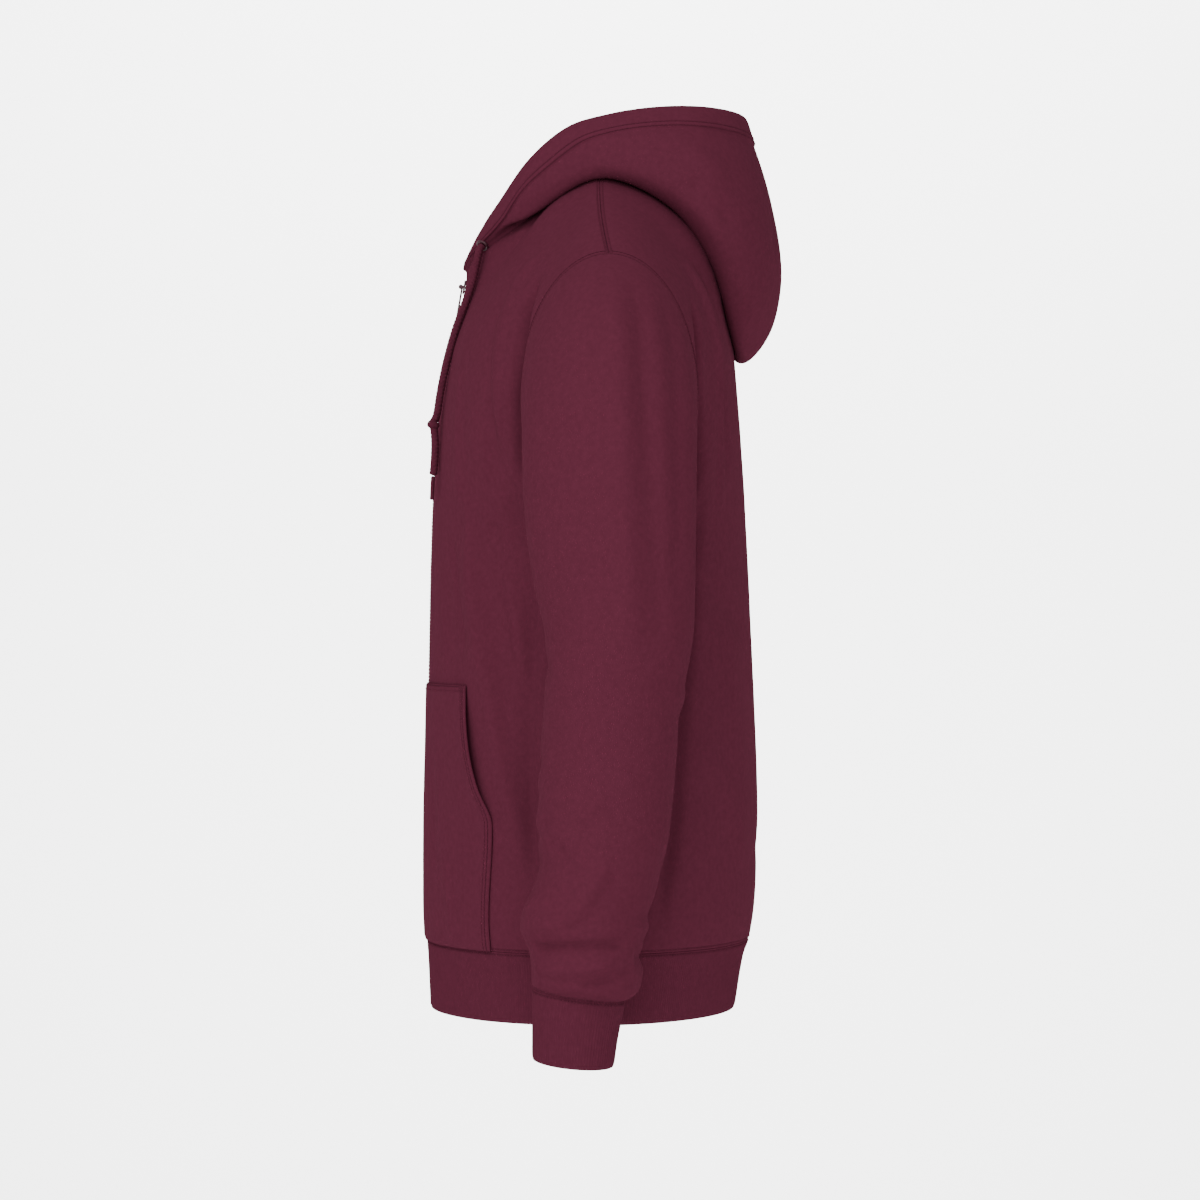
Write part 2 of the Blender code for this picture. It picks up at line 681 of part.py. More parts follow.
def wall_faces(panel):
    """Faces of a closed wall: the outer sheet first, then the inner one, then the rims."""
    rows, columns = panel.rows, panel.columns
    count = rows * columns

    def at(r, c, side):
        return side * count + r * columns + c % columns

    faces = []
    for r, c, d in panel.cells():
        faces.append([at(r, c, 0), at(r + 1, c, 0), at(r + 1, d, 0), at(r, d, 0)])
        faces.append([at(r, d, 1), at(r + 1, d, 1), at(r + 1, c, 1), at(r, c, 1)])
    for c in range(columns if panel.closed else columns - 1):
        for r in (0, rows - 1):
            faces.append([at(r, c, 0), at(r, c + 1, 0), at(r, c + 1, 1), at(r, c, 1)])
    if not panel.closed:
        for r in range(rows - 1):
            for c in (0, columns - 1):
                faces.append([at(r, c, 0), at(r + 1, c, 0), at(r + 1, c, 1), at(r, c, 1)])
    return faces


def wall(name, panel, finish, offsets=None):
    """A closed wall along the panel, between two offsets, or half its thickness each way."""
    half = panel.thickness / 2
    outer, inner = [], []
    for r in range(panel.rows):
        for c in range(panel.columns):
            point = panel.grid[r][c] + pull_back(panel, r, c)
            out, back = offsets(r, c) if offsets else (half, -half)
            outer.append(point + panel.normals[r][c] * out)
            inner.append(point + panel.normals[r][c] * back)
    return solid(name, outer + inner, wall_faces(panel), finish)


def solid(name, points, faces, finish):
    mesh = bpy.data.meshes.new(name)
    mesh.from_pydata(points, [], faces)
    shape = bmesh.new()
    shape.from_mesh(mesh)
    bmesh.ops.recalc_face_normals(shape, faces=shape.faces)
    shape.to_mesh(mesh)
    shape.free()
    mesh.shade_smooth()
    mesh.set_sharp_from_angle(angle=math.radians(50))
    obj = bpy.data.objects.new(name, mesh)
    bpy.context.scene.collection.objects.link(obj)
    mesh.materials.append(material(name, finish))
    return obj


def material(name, finish):
    colour, roughness, metallic = finish
    made = bpy.data.materials.new(name)
    made.use_nodes = True
    shader = made.node_tree.nodes["Principled BSDF"]
    shader.inputs["Base Color"].default_value = (*colour, 1)
    shader.inputs["Roughness"].default_value = roughness
    shader.inputs["Metallic"].default_value = metallic
    return made


# Pockets, zip and drawstrings


def sub_panel(panel, rows, columns):
    part = Panel([[panel.grid[r][c] for c in columns] for r in rows])
    part.normals = [[panel.normals[r][c] for c in columns] for r in rows]
    return part


def make_pocket(name, front, middle_first):
    """A pocket from the front's own points, moved out, with its mouth standing a little open."""
    columns = range(POCKET_COLUMN + 1)
    if not middle_first:
        columns = [front.columns - 1 - c for c in columns]
    pocket = sub_panel(front, range(POCKET_TOP_ROW, BODY_END_ROW + 1), columns)
    inside = front.thickness / 2 + SEAM_GAP

    def offsets(r, c):
        z = pocket.grid[r][c].z
        down = min(max((MOUTH_TOP_Z - z) / (MOUTH_TOP_Z - MOUTH_END_Z), 0), 1)
        near_mouth = max(1 - (POCKET_COLUMN - c) / MOUTH_REACH, 0)
        open_by = MOUTH_LIFT * math.sin(math.pi * down) * near_mouth
        return inside + FLEECE + open_by, inside + open_by

    wall(name, pocket, FLEECE_FINISH, offsets)


def middle_line(front, hem):
    """The front's edge at the zip, from the neck to the hem, with its outward normal, on x = 0."""
    line = []
    for panel, first in ((front, 0), (hem, 1)):
        for r in range(first, panel.rows):
            edge = min(range(panel.columns), key=lambda c: abs(panel.grid[r][c].x - FRONT_EDGE_X))
            point, normal = panel.grid[r][edge], panel.normals[r][edge]
            line.append((Vector((0, point.y, point.z)), Vector((0, normal.y, normal.z)).normalized()))
    return line


def at_height(line, height):
    """The point and the normal of a falling line at a height."""
    for (a, normal_a), (b, normal_b) in zip(line, line[1:]):
        if b.z <= height <= a.z:
            t = (a.z - height) / (a.z - b.z)
            return a.lerp(b, t), normal_a.lerp(normal_b, t).normalized()


def cut_line(line, top_z, end_z):
    """The stretch of a falling line between two heights, with its ends cut there."""
    between = [(point, normal) for point, normal in line if end_z < point.z < top_z]
    return [at_height(line, top_z), *between, at_height(line, end_z)]


def bar(name, rings, finish):
    """A closed bar through rings of four corners."""
    points = [corner for ring in rings for corner in ring]
    last = len(points) - 4
    faces = [[0, 1, 2, 3], [last + 3, last + 2, last + 1, last]]
    for i in range(0, last, 4):
        faces += [[i + k, i + (k + 1) % 4, i + 4 + (k + 1) % 4, i + 4 + k] for k in range(4)]
    return solid(name, points, faces, finish)


def strip(name, line, half_width, front, back, finish):
    """A flat strip across the middle line, between two offsets from it."""
    across = Vector((half_width, 0, 0))
    rings = []
    for middle, normal in line:
        outer, inner = middle + normal * front, middle + normal * back
        rings.append([outer - across, outer + across, inner + across, inner - across])
    return bar(name, rings, finish)


def make_tape(name, front, hem, line, hand):
    """A zip tape behind the front's edge, from the front's first two columns of points, moved in."""
    outer = FLEECE / 2 + TAPE_CLEARANCE
    inner = outer + TAPE_THICKNESS
    rings = []
    for row, (_, normal) in zip([*front.grid, *hem.grid[1:]], line):
        near = sorted((p for p in row if p.x * hand > 0 and p.y < 0), key=lambda p: abs(p.x))
        first, second = near[:2]
        a, b = (first.lerp(second, (x - abs(first.x)) / (abs(second.x) - abs(first.x))) for x in TAPE_EDGES_X)
        rings.append([a - normal * outer, b - normal * outer, b - normal * inner, a - normal * inner])
    rings[0] = [corner - Vector((0, 0, TAPE_CLEARANCE)) for corner in rings[0]]
    return bar(name, rings, TAPE_FINISH)


def box_points(low, high):
    return [Vector(corner) for corner in itertools.product(*zip(low, high))]


BOX_FACES = [[0, 1, 3, 2], [4, 6, 7, 5], [0, 4, 5, 1], [2, 3, 7, 6], [0, 2, 6, 4], [1, 5, 7, 3]]


def helper(name, points, faces):
    """A shape that only a Boolean uses."""
    obj = solid(name, points, faces, METAL_FINISH)
    obj.hide_render = True
    obj.display_type = "WIRE"
    return obj


def turned_points(radius, half_width):
    """The two rims of a rod along X."""
    ends = []
    for x in (-half_width, half_width):
        for i in range(ROD_SIDES):
            turn = 2 * math.pi * i / ROD_SIDES
            ends.append(Vector((x, radius * math.cos(turn), radius * math.sin(turn))))
    return ends


def turned_faces():
    return prism_faces(ROD_SIDES)


def prism_faces(count):
    """Faces between two outlines of so many points, and the outlines themselves."""
    sides = [[i, (i + 1) % count, count + (i + 1) % count, count + i] for i in range(count)]
    return [*sides, list(range(count)), [count + i for i in reversed(range(count))]]


def combine(obj, other, operation):
    step = obj.modifiers.new(other.name, "BOOLEAN")
    step.operation = operation
    step.object = other
    other.parent = obj


def make_slider(holder):
    """The slider: a front and a back plate joined by a post above the chain, with lugs and a crossbar.

    In the holder's own axes the garment is at y = 0, outwards is -Y, and z = 0 is at the crossbar.
    """
    wide, top = SLIDER_HALF_WIDTH, SLIDER_LENGTH / 2
    front = -CHAIN_FRONT - SEAM_GAP
    back = -CHAIN_BACK + SEAM_GAP
    plate = solid(
        "zip_slider",
        box_points((-wide, front - SLIDER_PLATE, -top), (wide, front, top)),
        BOX_FACES,
        METAL_FINISH,
    )
    plate.parent = holder
    pieces = [
        helper(
            "slider_back",
            box_points((-wide, back, -top), (wide, back + SLIDER_PLATE, top)),
            BOX_FACES,
        ),
        helper(
            "slider_post",
            box_points(
                (-POST_HALF_WIDTH, front - SLIDER_PLATE / 2, top - POST_HEIGHT),
                (POST_HALF_WIDTH, back + SLIDER_PLATE / 2, top - SEAM_GAP),
            ),
            BOX_FACES,
        ),
    ]
    for hand in (1, -1):
        edges = sorted((hand * LUG_INNER_X, hand * (LUG_INNER_X + LUG_WIDTH)))
        pieces.append(
            helper(
                "slider_lug_" + ("left" if hand > 0 else "right"),
                box_points(
                    (edges[0], -BAR_OFFSET - LUG_HALF_HEIGHT, -LUG_HALF_HEIGHT),
                    (edges[1], front - SLIDER_PLATE / 2, LUG_HALF_HEIGHT),
                ),
                BOX_FACES,
            )
        )
    crossbar = turned_points(BAR_RADIUS, LUG_INNER_X + LUG_WIDTH / 2)
    crossbar = [point - Vector((0, BAR_OFFSET, 0)) for point in crossbar]
    pieces.append(helper("slider_bar", crossbar, turned_faces()))
    for piece in pieces:
        combine(plate, piece, "UNION")


def make_pull(holder):
    """The pull tab, hanging from an eye that turns on the slider's crossbar; its origin is on the hinge."""
    pull = solid("zip_pull", turned_points(EYE_RADIUS, EYE_HALF_WIDTH), turned_faces(), METAL_FINISH)
    pull.parent = holder
    pull.location = (0, -BAR_OFFSET, 0)
    near, far = TAB_FACES_Y
    neck = helper(
        "pull_neck",
        box_points((-EYE_HALF_WIDTH, near, NECK_END_Z - SLIDER_PLATE), (EYE_HALF_WIDTH, far, NECK_TOP_Z)),
        BOX_FACES,
    )
    outline = [(TAB_SHOULDER_X, NECK_END_Z)]
    for i in range(TAB_END_STEPS + 1):
        turn = math.pi * i / TAB_END_STEPS
        drop = TAB_LENGTH - TAB_HALF_WIDTH * (1 - math.sin(turn))
        outline.append((TAB_HALF_WIDTH * math.cos(turn), -drop))
    outline.append((-TAB_SHOULDER_X, NECK_END_Z))
    points = [Vector((x, y, z)) for y in TAB_FACES_Y for x, z in outline]
    tab = helper("pull_plate", points, prism_faces(len(outline)))
    hole = helper("pull_hole", turned_points(EYE_HOLE, 2 * EYE_HALF_WIDTH), turned_faces())
    combine(pull, neck, "UNION")
    combine(pull, tab, "UNION")
    combine(pull, hole, "DIFFERENCE")


def make_zip(front, front_right, hem):
    line = middle_line(front, hem)
    make_tape("zip_tape_left", front, hem, line, 1)
    make_tape("zip_tape_right", front_right, hem, line, -1)
    chain_top = SLIDER_Z + SLIDER_LENGTH / 2 - POST_HEIGHT - SEAM_GAP
    stop_top = HEM_END_Z + STOP_HEIGHT
    chain = cut_line(line, chain_top, stop_top + SEAM_GAP)
    strip("zip_teeth", chain, CHAIN_HALF_WIDTH, CHAIN_FRONT, CHAIN_BACK, ZIP_FINISH)
    stop = cut_line(line, stop_top, HEM_END_Z + SEAM_GAP)
    strip("zip_stop", stop, STOP_HALF_WIDTH, FLEECE / 2, -FLEECE / 2, METAL_FINISH)
    above, below = (at_height(line, SLIDER_Z + away)[0] for away in TAB_REST_SPAN)
    holder = bpy.data.objects.new("slider_place", None)
    bpy.context.scene.collection.objects.link(holder)
    holder.location = at_height(line, SLIDER_Z)[0]
    holder.rotation_euler = (-math.atan2(above.y - below.y, above.z - below.z), 0, 0)
    make_slider(holder)
    make_pull(holder)


def smooth_route(route, step):
    """Points along a smooth curve through the route, about a step apart."""
    fine = []
    for k in range(ROUTE_FINENESS * (len(route) - 1) + 1):
        fine.append(on_column(route, k / ROUTE_FINENESS))
    lengths = [0.0]
    for a, b in zip(fine, fine[1:]):
        lengths.append(lengths[-1] + (b - a).length)
    count = max(round(lengths[-1] / step), 2)
    points, i = [], 0
    for k in range(count + 1):
        goal = lengths[-1] * k / count
        while i < len(fine) - 2 and lengths[i + 1] < goal:
            i += 1
        share = min((goal - lengths[i]) / (lengths[i + 1] - lengths[i]), 1)
        points.append(fine[i].lerp(fine[i + 1], share))
    return points


def tube(name, points, radius):
    data = bpy.data.curves.new(name, "CURVE")
    data.dimensions = "3D"
    data.bevel_depth = radius
    data.bevel_resolution = 2
    data.use_fill_caps = True
    spline = data.splines.new("POLY")
    spline.points.add(len(points) - 1)
    for place, point in zip(spline.points, points):
        place.co = (*point, 1)
    obj = bpy.data.objects.new(name, data)
    bpy.context.scene.collection.objects.link(obj)
    data.materials.append(material(name, CORD_FINISH))


def eyelet_seat(hood):
    """Where the eyelet sits on the hood's outer face, and the way out of it."""
    column = EYELET_PLACE[0] * HOOD_COLUMNS
    row = EYELET_PLACE[1] * (len(HOOD_MARKS) - 1)
    c, r = int(column), int(row)
    s, t = column - c, row - r

    def mixed(table):
        top = table[r][c].lerp(table[r][c + 1], s)
        return top.lerp(table[r + 1][c].lerp(table[r + 1][c + 1], s), t)

    way = mixed(hood.normals).normalized()
    return mixed(hood.grid) + way * (FLEECE / 2 + SEAM_GAP), way


def make_eyelet(name, seat, way):
    bpy.ops.mesh.primitive_torus_add(
        major_segments=16, minor_segments=6, major_radius=EYELET_RADIUS, minor_radius=EYELET_WIRE
    )
    ring = bpy.context.object
    ring.name = ring.data.name = name
    ring.location = seat + way * EYELET_WIRE
    ring.rotation_mode = "QUATERNION"
    ring.rotation_quaternion = way.to_track_quat("Z", "Y")
    ring.data.shade_smooth()
    ring.data.materials.append(material(name, METAL_FINISH))


def make_knot(name, centre):
    """A knot as a rounded lump."""
    shape = bmesh.new()
    bmesh.ops.create_icosphere(shape, subdivisions=2, radius=1)
    stretch = Matrix.Diagonal((*KNOT_SIZE, 1))
    bmesh.ops.transform(shape, matrix=stretch, verts=shape.verts)
    mesh = bpy.data.meshes.new(name)
    shape.to_mesh(mesh)
    shape.free()
    mesh.shade_smooth()
    obj = bpy.data.objects.new(name, mesh)
    obj.location = centre
    bpy.context.scene.collection.objects.link(obj)
    mesh.materials.append(material(name, CORD_FINISH))


def make_drawstring(side, hood, hand):
    seat, way = eyelet_seat(hood)
    make_eyelet("eyelet_" + side, seat, way)
    start = seat + way * SEAM_GAP
    route = [start, start + way * CORD_LEAVES_BY, *(mirrored(Vector(p), hand) for p in CORD_ROUTE)]
    tube("drawstring_" + side, smooth_route(route, CORD_STEP), CORD_RADIUS)
    make_knot("knot_" + side, mirrored(Vector(KNOT_CENTRE), hand))
    for name, route, radius in (
        ("drawstring_tail_", TAIL_ROUTE, CORD_RADIUS),
        ("cord_tip_", TIP_ROUTE, TIP_RADIUS),
    ):
        points = [mirrored(Vector(p), hand) for p in route]
        tube(name + side, smooth_route(points, CORD_STEP), radius)


def main():
    for obj in list(bpy.data.objects):
        bpy.data.objects.remove(obj)
    body_folds, sleeve_folds, plain = place_body_folds(), place_sleeve_folds(), []
    body_rows = range(BODY_END_ROW + 1)
    left_rows = body_grid(FRONT, range(COLUMNS + 1), body_rows)
    right_rows = [[mirrored(point, -1) for point in reversed(row)] for row in left_rows]
    front_left = Panel(left_rows, flip=True, folds=body_folds)
    front_right = Panel(right_rows, flip=True, folds=body_folds)
    back = Panel(body_grid(BACK, range(-COLUMNS, COLUMNS + 1), body_rows), folds=body_folds)
    hem = Panel(hem_grid(), flip=True, folds=body_folds, thickness=RIB)
    sleeves, cuffs, hoods = {}, {}, {}
    for side, hand in (("left", 1), ("right", -1)):
        flip = hand > 0
        sleeve_grid = ring_grid(SLEEVE, range(len(SLEEVE)), hand)
        cuff_grid = ring_grid(CUFF, range(len(CUFF)), hand)
        sleeves[side] = Panel(sleeve_grid, closed=True, flip=flip, folds=sleeve_folds)
        cuffs[side] = Panel(cuff_grid, closed=True, flip=flip, folds=sleeve_folds, thickness=RIB)
        hoods[side] = Panel(hood_grid(hand), flip=not flip, folds=plain)
    panels = [front_left, front_right, back, hem, *sleeves.values(), *cuffs.values(), *hoods.values()]
    share_normals(panels)
    raise_folds(panels)
    share_normals(panels)
    for hood in hoods.values():
        even_out_neck(hood)
    wall("front_left", front_left, FLEECE_FINISH)
    wall("front_right", front_right, FLEECE_FINISH)
    wall("back", back, FLEECE_FINISH)
    wall("hem_band", hem, RIB_FINISH)
    casing_row = len(HOOD_MARKS)

    def casing(r, c):
        return FLEECE / 2 + (CASING_RAISE if r >= casing_row else 0), -FLEECE / 2

    for side, hand in (("left", 1), ("right", -1)):
        wall("sleeve_" + side, sleeves[side], FLEECE_FINISH)
        wall("cuff_" + side, cuffs[side], RIB_FINISH)
        wall("hood_" + side, hoods[side], FLEECE_FINISH, casing)
        make_drawstring(side, hoods[side], hand)
    make_pocket("pocket_left", front_left, True)
    make_pocket("pocket_right", front_right, False)
    make_zip(front_left, front_right, hem)


main()
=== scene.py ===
"""A zip-up hooded sweatshirt, filled out as if worn, with its hood down: cloth, stitching, zip and drawstring.

Metres, +Z up. The front faces -Y and the wearer's left is +X. The cloth follows the same middle surface
as the garment's solids: each panel is a closed wall round a fine grid of points on it.
"""

import functools
import math
from collections import namedtuple

import bmesh
import bpy
import numpy as np
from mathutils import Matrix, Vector, noise


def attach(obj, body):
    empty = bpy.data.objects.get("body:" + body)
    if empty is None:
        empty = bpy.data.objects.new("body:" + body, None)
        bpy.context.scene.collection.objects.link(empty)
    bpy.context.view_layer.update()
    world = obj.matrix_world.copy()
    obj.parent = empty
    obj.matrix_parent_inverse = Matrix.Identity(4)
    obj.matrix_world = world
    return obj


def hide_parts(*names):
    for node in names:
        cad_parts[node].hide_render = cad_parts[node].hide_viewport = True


bl_info = {
    "name": "Zip-up hooded sweatshirt",
    "version": (1, 0, 0),
    "blender": (4, 5, 0),
    "location": "3D View > Sidebar > Sweatshirt",
    "description": "Cloth panels, stitching, zip and drawstring of a zip-up hooded sweatshirt",
    "category": "Object",
}

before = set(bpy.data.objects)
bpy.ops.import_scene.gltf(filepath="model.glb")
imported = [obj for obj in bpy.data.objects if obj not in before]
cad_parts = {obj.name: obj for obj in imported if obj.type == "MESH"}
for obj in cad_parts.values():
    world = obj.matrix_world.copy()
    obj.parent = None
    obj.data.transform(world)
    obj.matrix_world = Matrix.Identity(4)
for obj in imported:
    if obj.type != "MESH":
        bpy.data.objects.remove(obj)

GARMENT, PULL_TAB = "garment", "pull_tab"
SIDES = (("left", 1), ("right", -1))

# Cloth: its thickness, its seams' gap, the hood's share of it, and how much a wall may lengthen where panels meet
FLEECE, SEAM_GAP, HOOD_GAP_SHARE, MITER_LIMIT = 0.0022, 0.0003, 0.1, 0.6
# How far in from its edge a wall's face is rounded, and how deep, at a seam and on the pocket
EDGE_REACH, EDGE_DROP, POCKET_EDGE_DROP = 0.0022, 0.0007, 0.0009

# Body: height, front, back, side, half width
BODY = np.array([
    (0.030, -0.092, 0.080, 0.0075, 0.285),
    (-0.040, -0.1050, 0.0980, 0.0075, 0.280),
    (-0.085, -0.1166, 0.1075, 0.0075, 0.278),
    (-0.126, -0.1250, 0.1135, 0.0075, 0.274),
    (-0.206, -0.1395, 0.1205, 0.0075, 0.257),
    (-0.262, -0.1440, 0.1245, 0.0075, 0.236),
    (-0.3115, -0.1460, 0.1272, 0.0075, 0.2140),
    (-0.364, -0.1472, 0.1297, 0.0030, 0.2125),
    (-0.452, -0.1490, 0.1337, -0.0070, 0.2110),
    (-0.539, -0.1507, 0.1367, -0.0080, 0.2105),
    (-0.592, -0.1512, 0.1358, -0.0090, 0.2105),
    (-0.630, -0.1512, 0.1335, -0.0100, 0.2085),
    (-0.6585, -0.1500, 0.1290, -0.0105, 0.2045),
    (-0.672, -0.1490, 0.1243, -0.0110, 0.2020),
    (-0.718, -0.1472, 0.1166, -0.0140, 0.1985),
])
UNDERARM_Z, HEM_SEAM_Z, HEM_END_Z = -0.3115, -0.6585, -0.718
BODY_HEIGHTS = (
    UNDERARM_Z, -0.345, -0.376, -0.406, -0.436, -0.465, -0.4935, -0.522, -0.550, -0.586, -0.622,
    HEM_SEAM_Z, -0.672, -0.695, HEM_END_Z,
)
FRONT_EDGE_X = 0.006
NECK_FRONT = np.array([
    (FRONT_EDGE_X, -0.1166, -0.0775), (0.034, -0.1065, -0.0665), (0.061, -0.0840, -0.0520),
    (0.079, -0.0460, -0.0275), (0.085, 0.0, 0.0),
])
NECK_BACK = np.array([
    (0.0, 0.0680, -0.0145), (0.034, 0.0635, -0.0115), (0.062, 0.0500, -0.0050),
    (0.0795, 0.0280, 0.0010), (0.085, 0.0, 0.0),
])
# The shoulder seam's outer end, and the power by which it falls towards it
SHOULDER_X, SHOULDER_Z, SHOULDER_FALL = 0.235, -0.0785, 1.35
# How the cloth rounds from the neckline and the shoulder seam into the chest and back
Rounding = namedtuple("Rounding", "drop at_neck rise turn")
ROUND_FRONT = Rounding(0.150, 0.050, 1.6, 1.3)
ROUND_BACK = Rounding(0.145, 0.120, 2.0, 2.0)
NECK_COLUMNS, COLUMNS, ARM_ROWS = 4, 12, 10
POCKET_COLUMN, POCKET_TOP_ROW, BODY_END_ROW = 7, 14, 21
FRONT, BACK = -1, 1

# Sleeve and cuff rings: inner x and z, outer x and z, front, back, pitch
SLEEVE = np.array([
    (0.2140, -0.3115, 0.2350, -0.0785, -0.0645, 0.0795, 0.0),
    (0.2215, -0.3140, 0.2615, -0.0985, -0.0640, 0.0790, 0.0),
    (0.2275, -0.3190, 0.2850, -0.1230, -0.0630, 0.0785, 0.0),
    (0.2310, -0.3270, 0.3050, -0.1520, -0.0625, 0.0780, 0.0),
    (0.2325, -0.3370, 0.3215, -0.1865, -0.0620, 0.0775, 0.0),
    (0.2330, -0.3500, 0.3345, -0.2260, -0.0605, 0.0770, 0.0),
    (0.2330, -0.3670, 0.3430, -0.2700, -0.0575, 0.0765, 0.0),
    (0.2325, -0.3890, 0.3475, -0.3180, -0.0520, 0.0760, 0.0),
    (0.2315, -0.4150, 0.3485, -0.3660, -0.0440, 0.0745, 0.001),
    (0.2305, -0.4430, 0.3475, -0.4060, -0.0435, 0.0690, 0.002),
    (0.2300, -0.4690, 0.3460, -0.4400, -0.0450, 0.0630, 0.002),
    (0.2300, -0.4940, 0.3445, -0.4710, -0.0470, 0.0615, 0.003),
    (0.2305, -0.5180, 0.3435, -0.5000, -0.0465, 0.0595, 0.003),
    (0.2315, -0.5420, 0.3425, -0.5280, -0.0495, 0.0568, 0.004),
    (0.2325, -0.5640, 0.3415, -0.5540, -0.0505, 0.0538, 0.004),
    (0.2345, -0.5840, 0.3405, -0.5770, -0.0478, 0.0480, 0.005),
    (0.2360, -0.6030, 0.3400, -0.5980, -0.0535, 0.0430, 0.006),
    (0.2375, -0.6200, 0.3395, -0.6170, -0.0615, 0.0365, 0.007),
    (0.2390, -0.6350, 0.3385, -0.6340, -0.0635, 0.0345, 0.008),
    (0.2410, -0.6490, 0.3365, -0.6500, -0.0575, 0.0335, 0.009),
    (0.2430, -0.6620, 0.3335, -0.6645, -0.0548, 0.0335, 0.010),
    (0.2460, -0.6740, 0.3290, -0.6775, -0.0545, 0.0300, 0.010),
    (0.2550, -0.6820, 0.3190, -0.6855, -0.0540, 0.0195, 0.010),
])
CUFF = np.array([
    tuple(SLEEVE[-1]),
    (0.2555, -0.6900, 0.3190, -0.6940, -0.0540, 0.0182, 0.009),
    (0.2565, -0.7130, 0.3185, -0.7180, -0.0540, 0.0135, 0.007),
    (0.2570, -0.7360, 0.3180, -0.7420, -0.0540, 0.0100, 0.006),
])

# Hood stations: place along the neck, then floor, low, out and rim points
HOOD = np.array([
    (0.000, 0.0055, -0.1176, -0.0757, 0.0050, -0.1180, -0.0735, 0.0040, -0.1178, -0.0710, 0.0030, -0.1166, -0.0680),
    (0.125, 0.0360, -0.1078, -0.0620, 0.0400, -0.1068, -0.0585, 0.0425, -0.1045, -0.0520, 0.0400, -0.1015, -0.0431),
    (0.250, 0.0665, -0.0860, -0.0465, 0.0730, -0.0845, -0.0430, 0.0780, -0.0830, -0.0330, 0.0700, -0.0843, -0.0197),
    (0.375, 0.0870, -0.0530, -0.0270, 0.0960, -0.0600, -0.0355, 0.1040, -0.0590, -0.0140, 0.0950, -0.0599, 0.0122),
    (0.500, 0.1020, -0.0060, 0.0000, 0.1205, -0.0120, -0.0080, 0.1275, -0.0140, 0.0120, 0.1100, -0.0273, 0.0380),
    (0.600, 0.1050, 0.0220, -0.0005, 0.1275, 0.0230, -0.0098, 0.1370, 0.0200, 0.0140, 0.1135, 0.0080, 0.0485),
    (0.700, 0.1040, 0.0520, -0.0130, 0.1265, 0.0660, -0.0362, 0.1425, 0.0640, -0.0020, 0.1120, 0.0450, 0.0545),
    (0.800, 0.0920, 0.0830, -0.0410, 0.1190, 0.0962, -0.0818, 0.1380, 0.1030, -0.0300, 0.0980, 0.0845, 0.0567),
    (0.900, 0.0580, 0.1030, -0.0620, 0.0872, 0.1125, -0.1348, 0.0950, 0.1425, -0.0660, 0.0600, 0.1150, 0.0562),
    (1.000, 0.0000, 0.1100, -0.0720, 0.0000, 0.1195, -0.1525, 0.0000, 0.1575, -0.0820, 0.0000, 0.1270, 0.0550),
])
HOOD_MARKS = (0, 0.10, 0.21, 0.32, 0.43, 0.51, 0.57, 0.615, 0.66, 0.70, 0.765, 0.85, 0.925, 1)
# The hood stands up from the neck seam, and leans out, before it falls; a short column does so less
HOOD_STAND, HOOD_LEAN, SHORT_COLUMN = 0.007, 0.003, 0.025
# How much fuller it is below and above its fold, from this place along the neck, and over how much of the neck
FULLER_BELOW, FULLER_ABOVE, FULLER_FROM, FULLER_OVER = 0.0060, 0.0022, 0.3, 0.5
# The body's rise under the hood's fold: place along the neck and height
HOOD_REST = np.array([
    (0.17, 0.0), (0.25, 0.0045), (0.375, 0.0075), (0.50, 0.0026), (0.60, 0.0078), (0.70, 0.0118), (0.80, 0.0066),
    (0.89, 0.0),
])
REST_REACH = 0.024
# The line down from the neck's corner, round which the rise is evened so that the cloth doesn't cross itself
NECK_CORNER = np.array([
    (0.0850, 0.0, 0.0), (0.0866, -0.0292, -0.0209), (0.0881, -0.0482, -0.0400), (0.0911, -0.0813, -0.0779),
])
CORNER_REACH = 0.013
# The casing's width, the most of a column that it may take, and how far it stands above the hood's wall
CASING_WIDTH, CASING_SHARE, CASING_RAISE = 0.024, 0.8, 0.0011

# Large folds: face, hand, turn and height at each end, reach, height of the fold
BODY_FOLDS = (
    (FRONT, 1, 2.5, -0.086, 2.5, -0.158, 0.011, 0.0036),
    (FRONT, -1, 2.5, -0.086, 2.5, -0.158, 0.011, 0.0036),
    (FRONT, 1, 46, -0.084, 55, -0.270, 0.017, 0.0048),
    (FRONT, 1, 64, -0.170, 66, -0.330, 0.014, -0.0045),
    (FRONT, 1, 36, -0.290, 61, -0.570, 0.020, 0.0050),
    (FRONT, 1, 26, -0.330, 44, -0.430, 0.018, -0.0030),
    (FRONT, 1, 52, -0.300, 70, -0.480, 0.017, -0.0035),
    (FRONT, -1, 50, -0.115, 56, -0.280, 0.017, 0.0045),
    (FRONT, -1, 65, -0.180, 66, -0.330, 0.014, -0.0045),
    (FRONT, -1, 33, -0.310, 57, -0.560, 0.021, 0.0045),
    (FRONT, -1, 50, -0.320, 68, -0.500, 0.017, -0.0035),
    (BACK, 1, 52, -0.120, 57, -0.300, 0.019, 0.0045),
    (BACK, 1, 70, -0.210, 66, -0.420, 0.017, -0.0040),
    (BACK, 1, 34, -0.360, 26, -0.600, 0.026, 0.0035),
    (BACK, -1, 51, -0.130, 57, -0.290, 0.019, 0.0045),
    (BACK, -1, 69, -0.200, 67, -0.400, 0.017, -0.0040),
    (BACK, -1, 30, -0.400, 22, -0.620, 0.026, 0.0030),
)
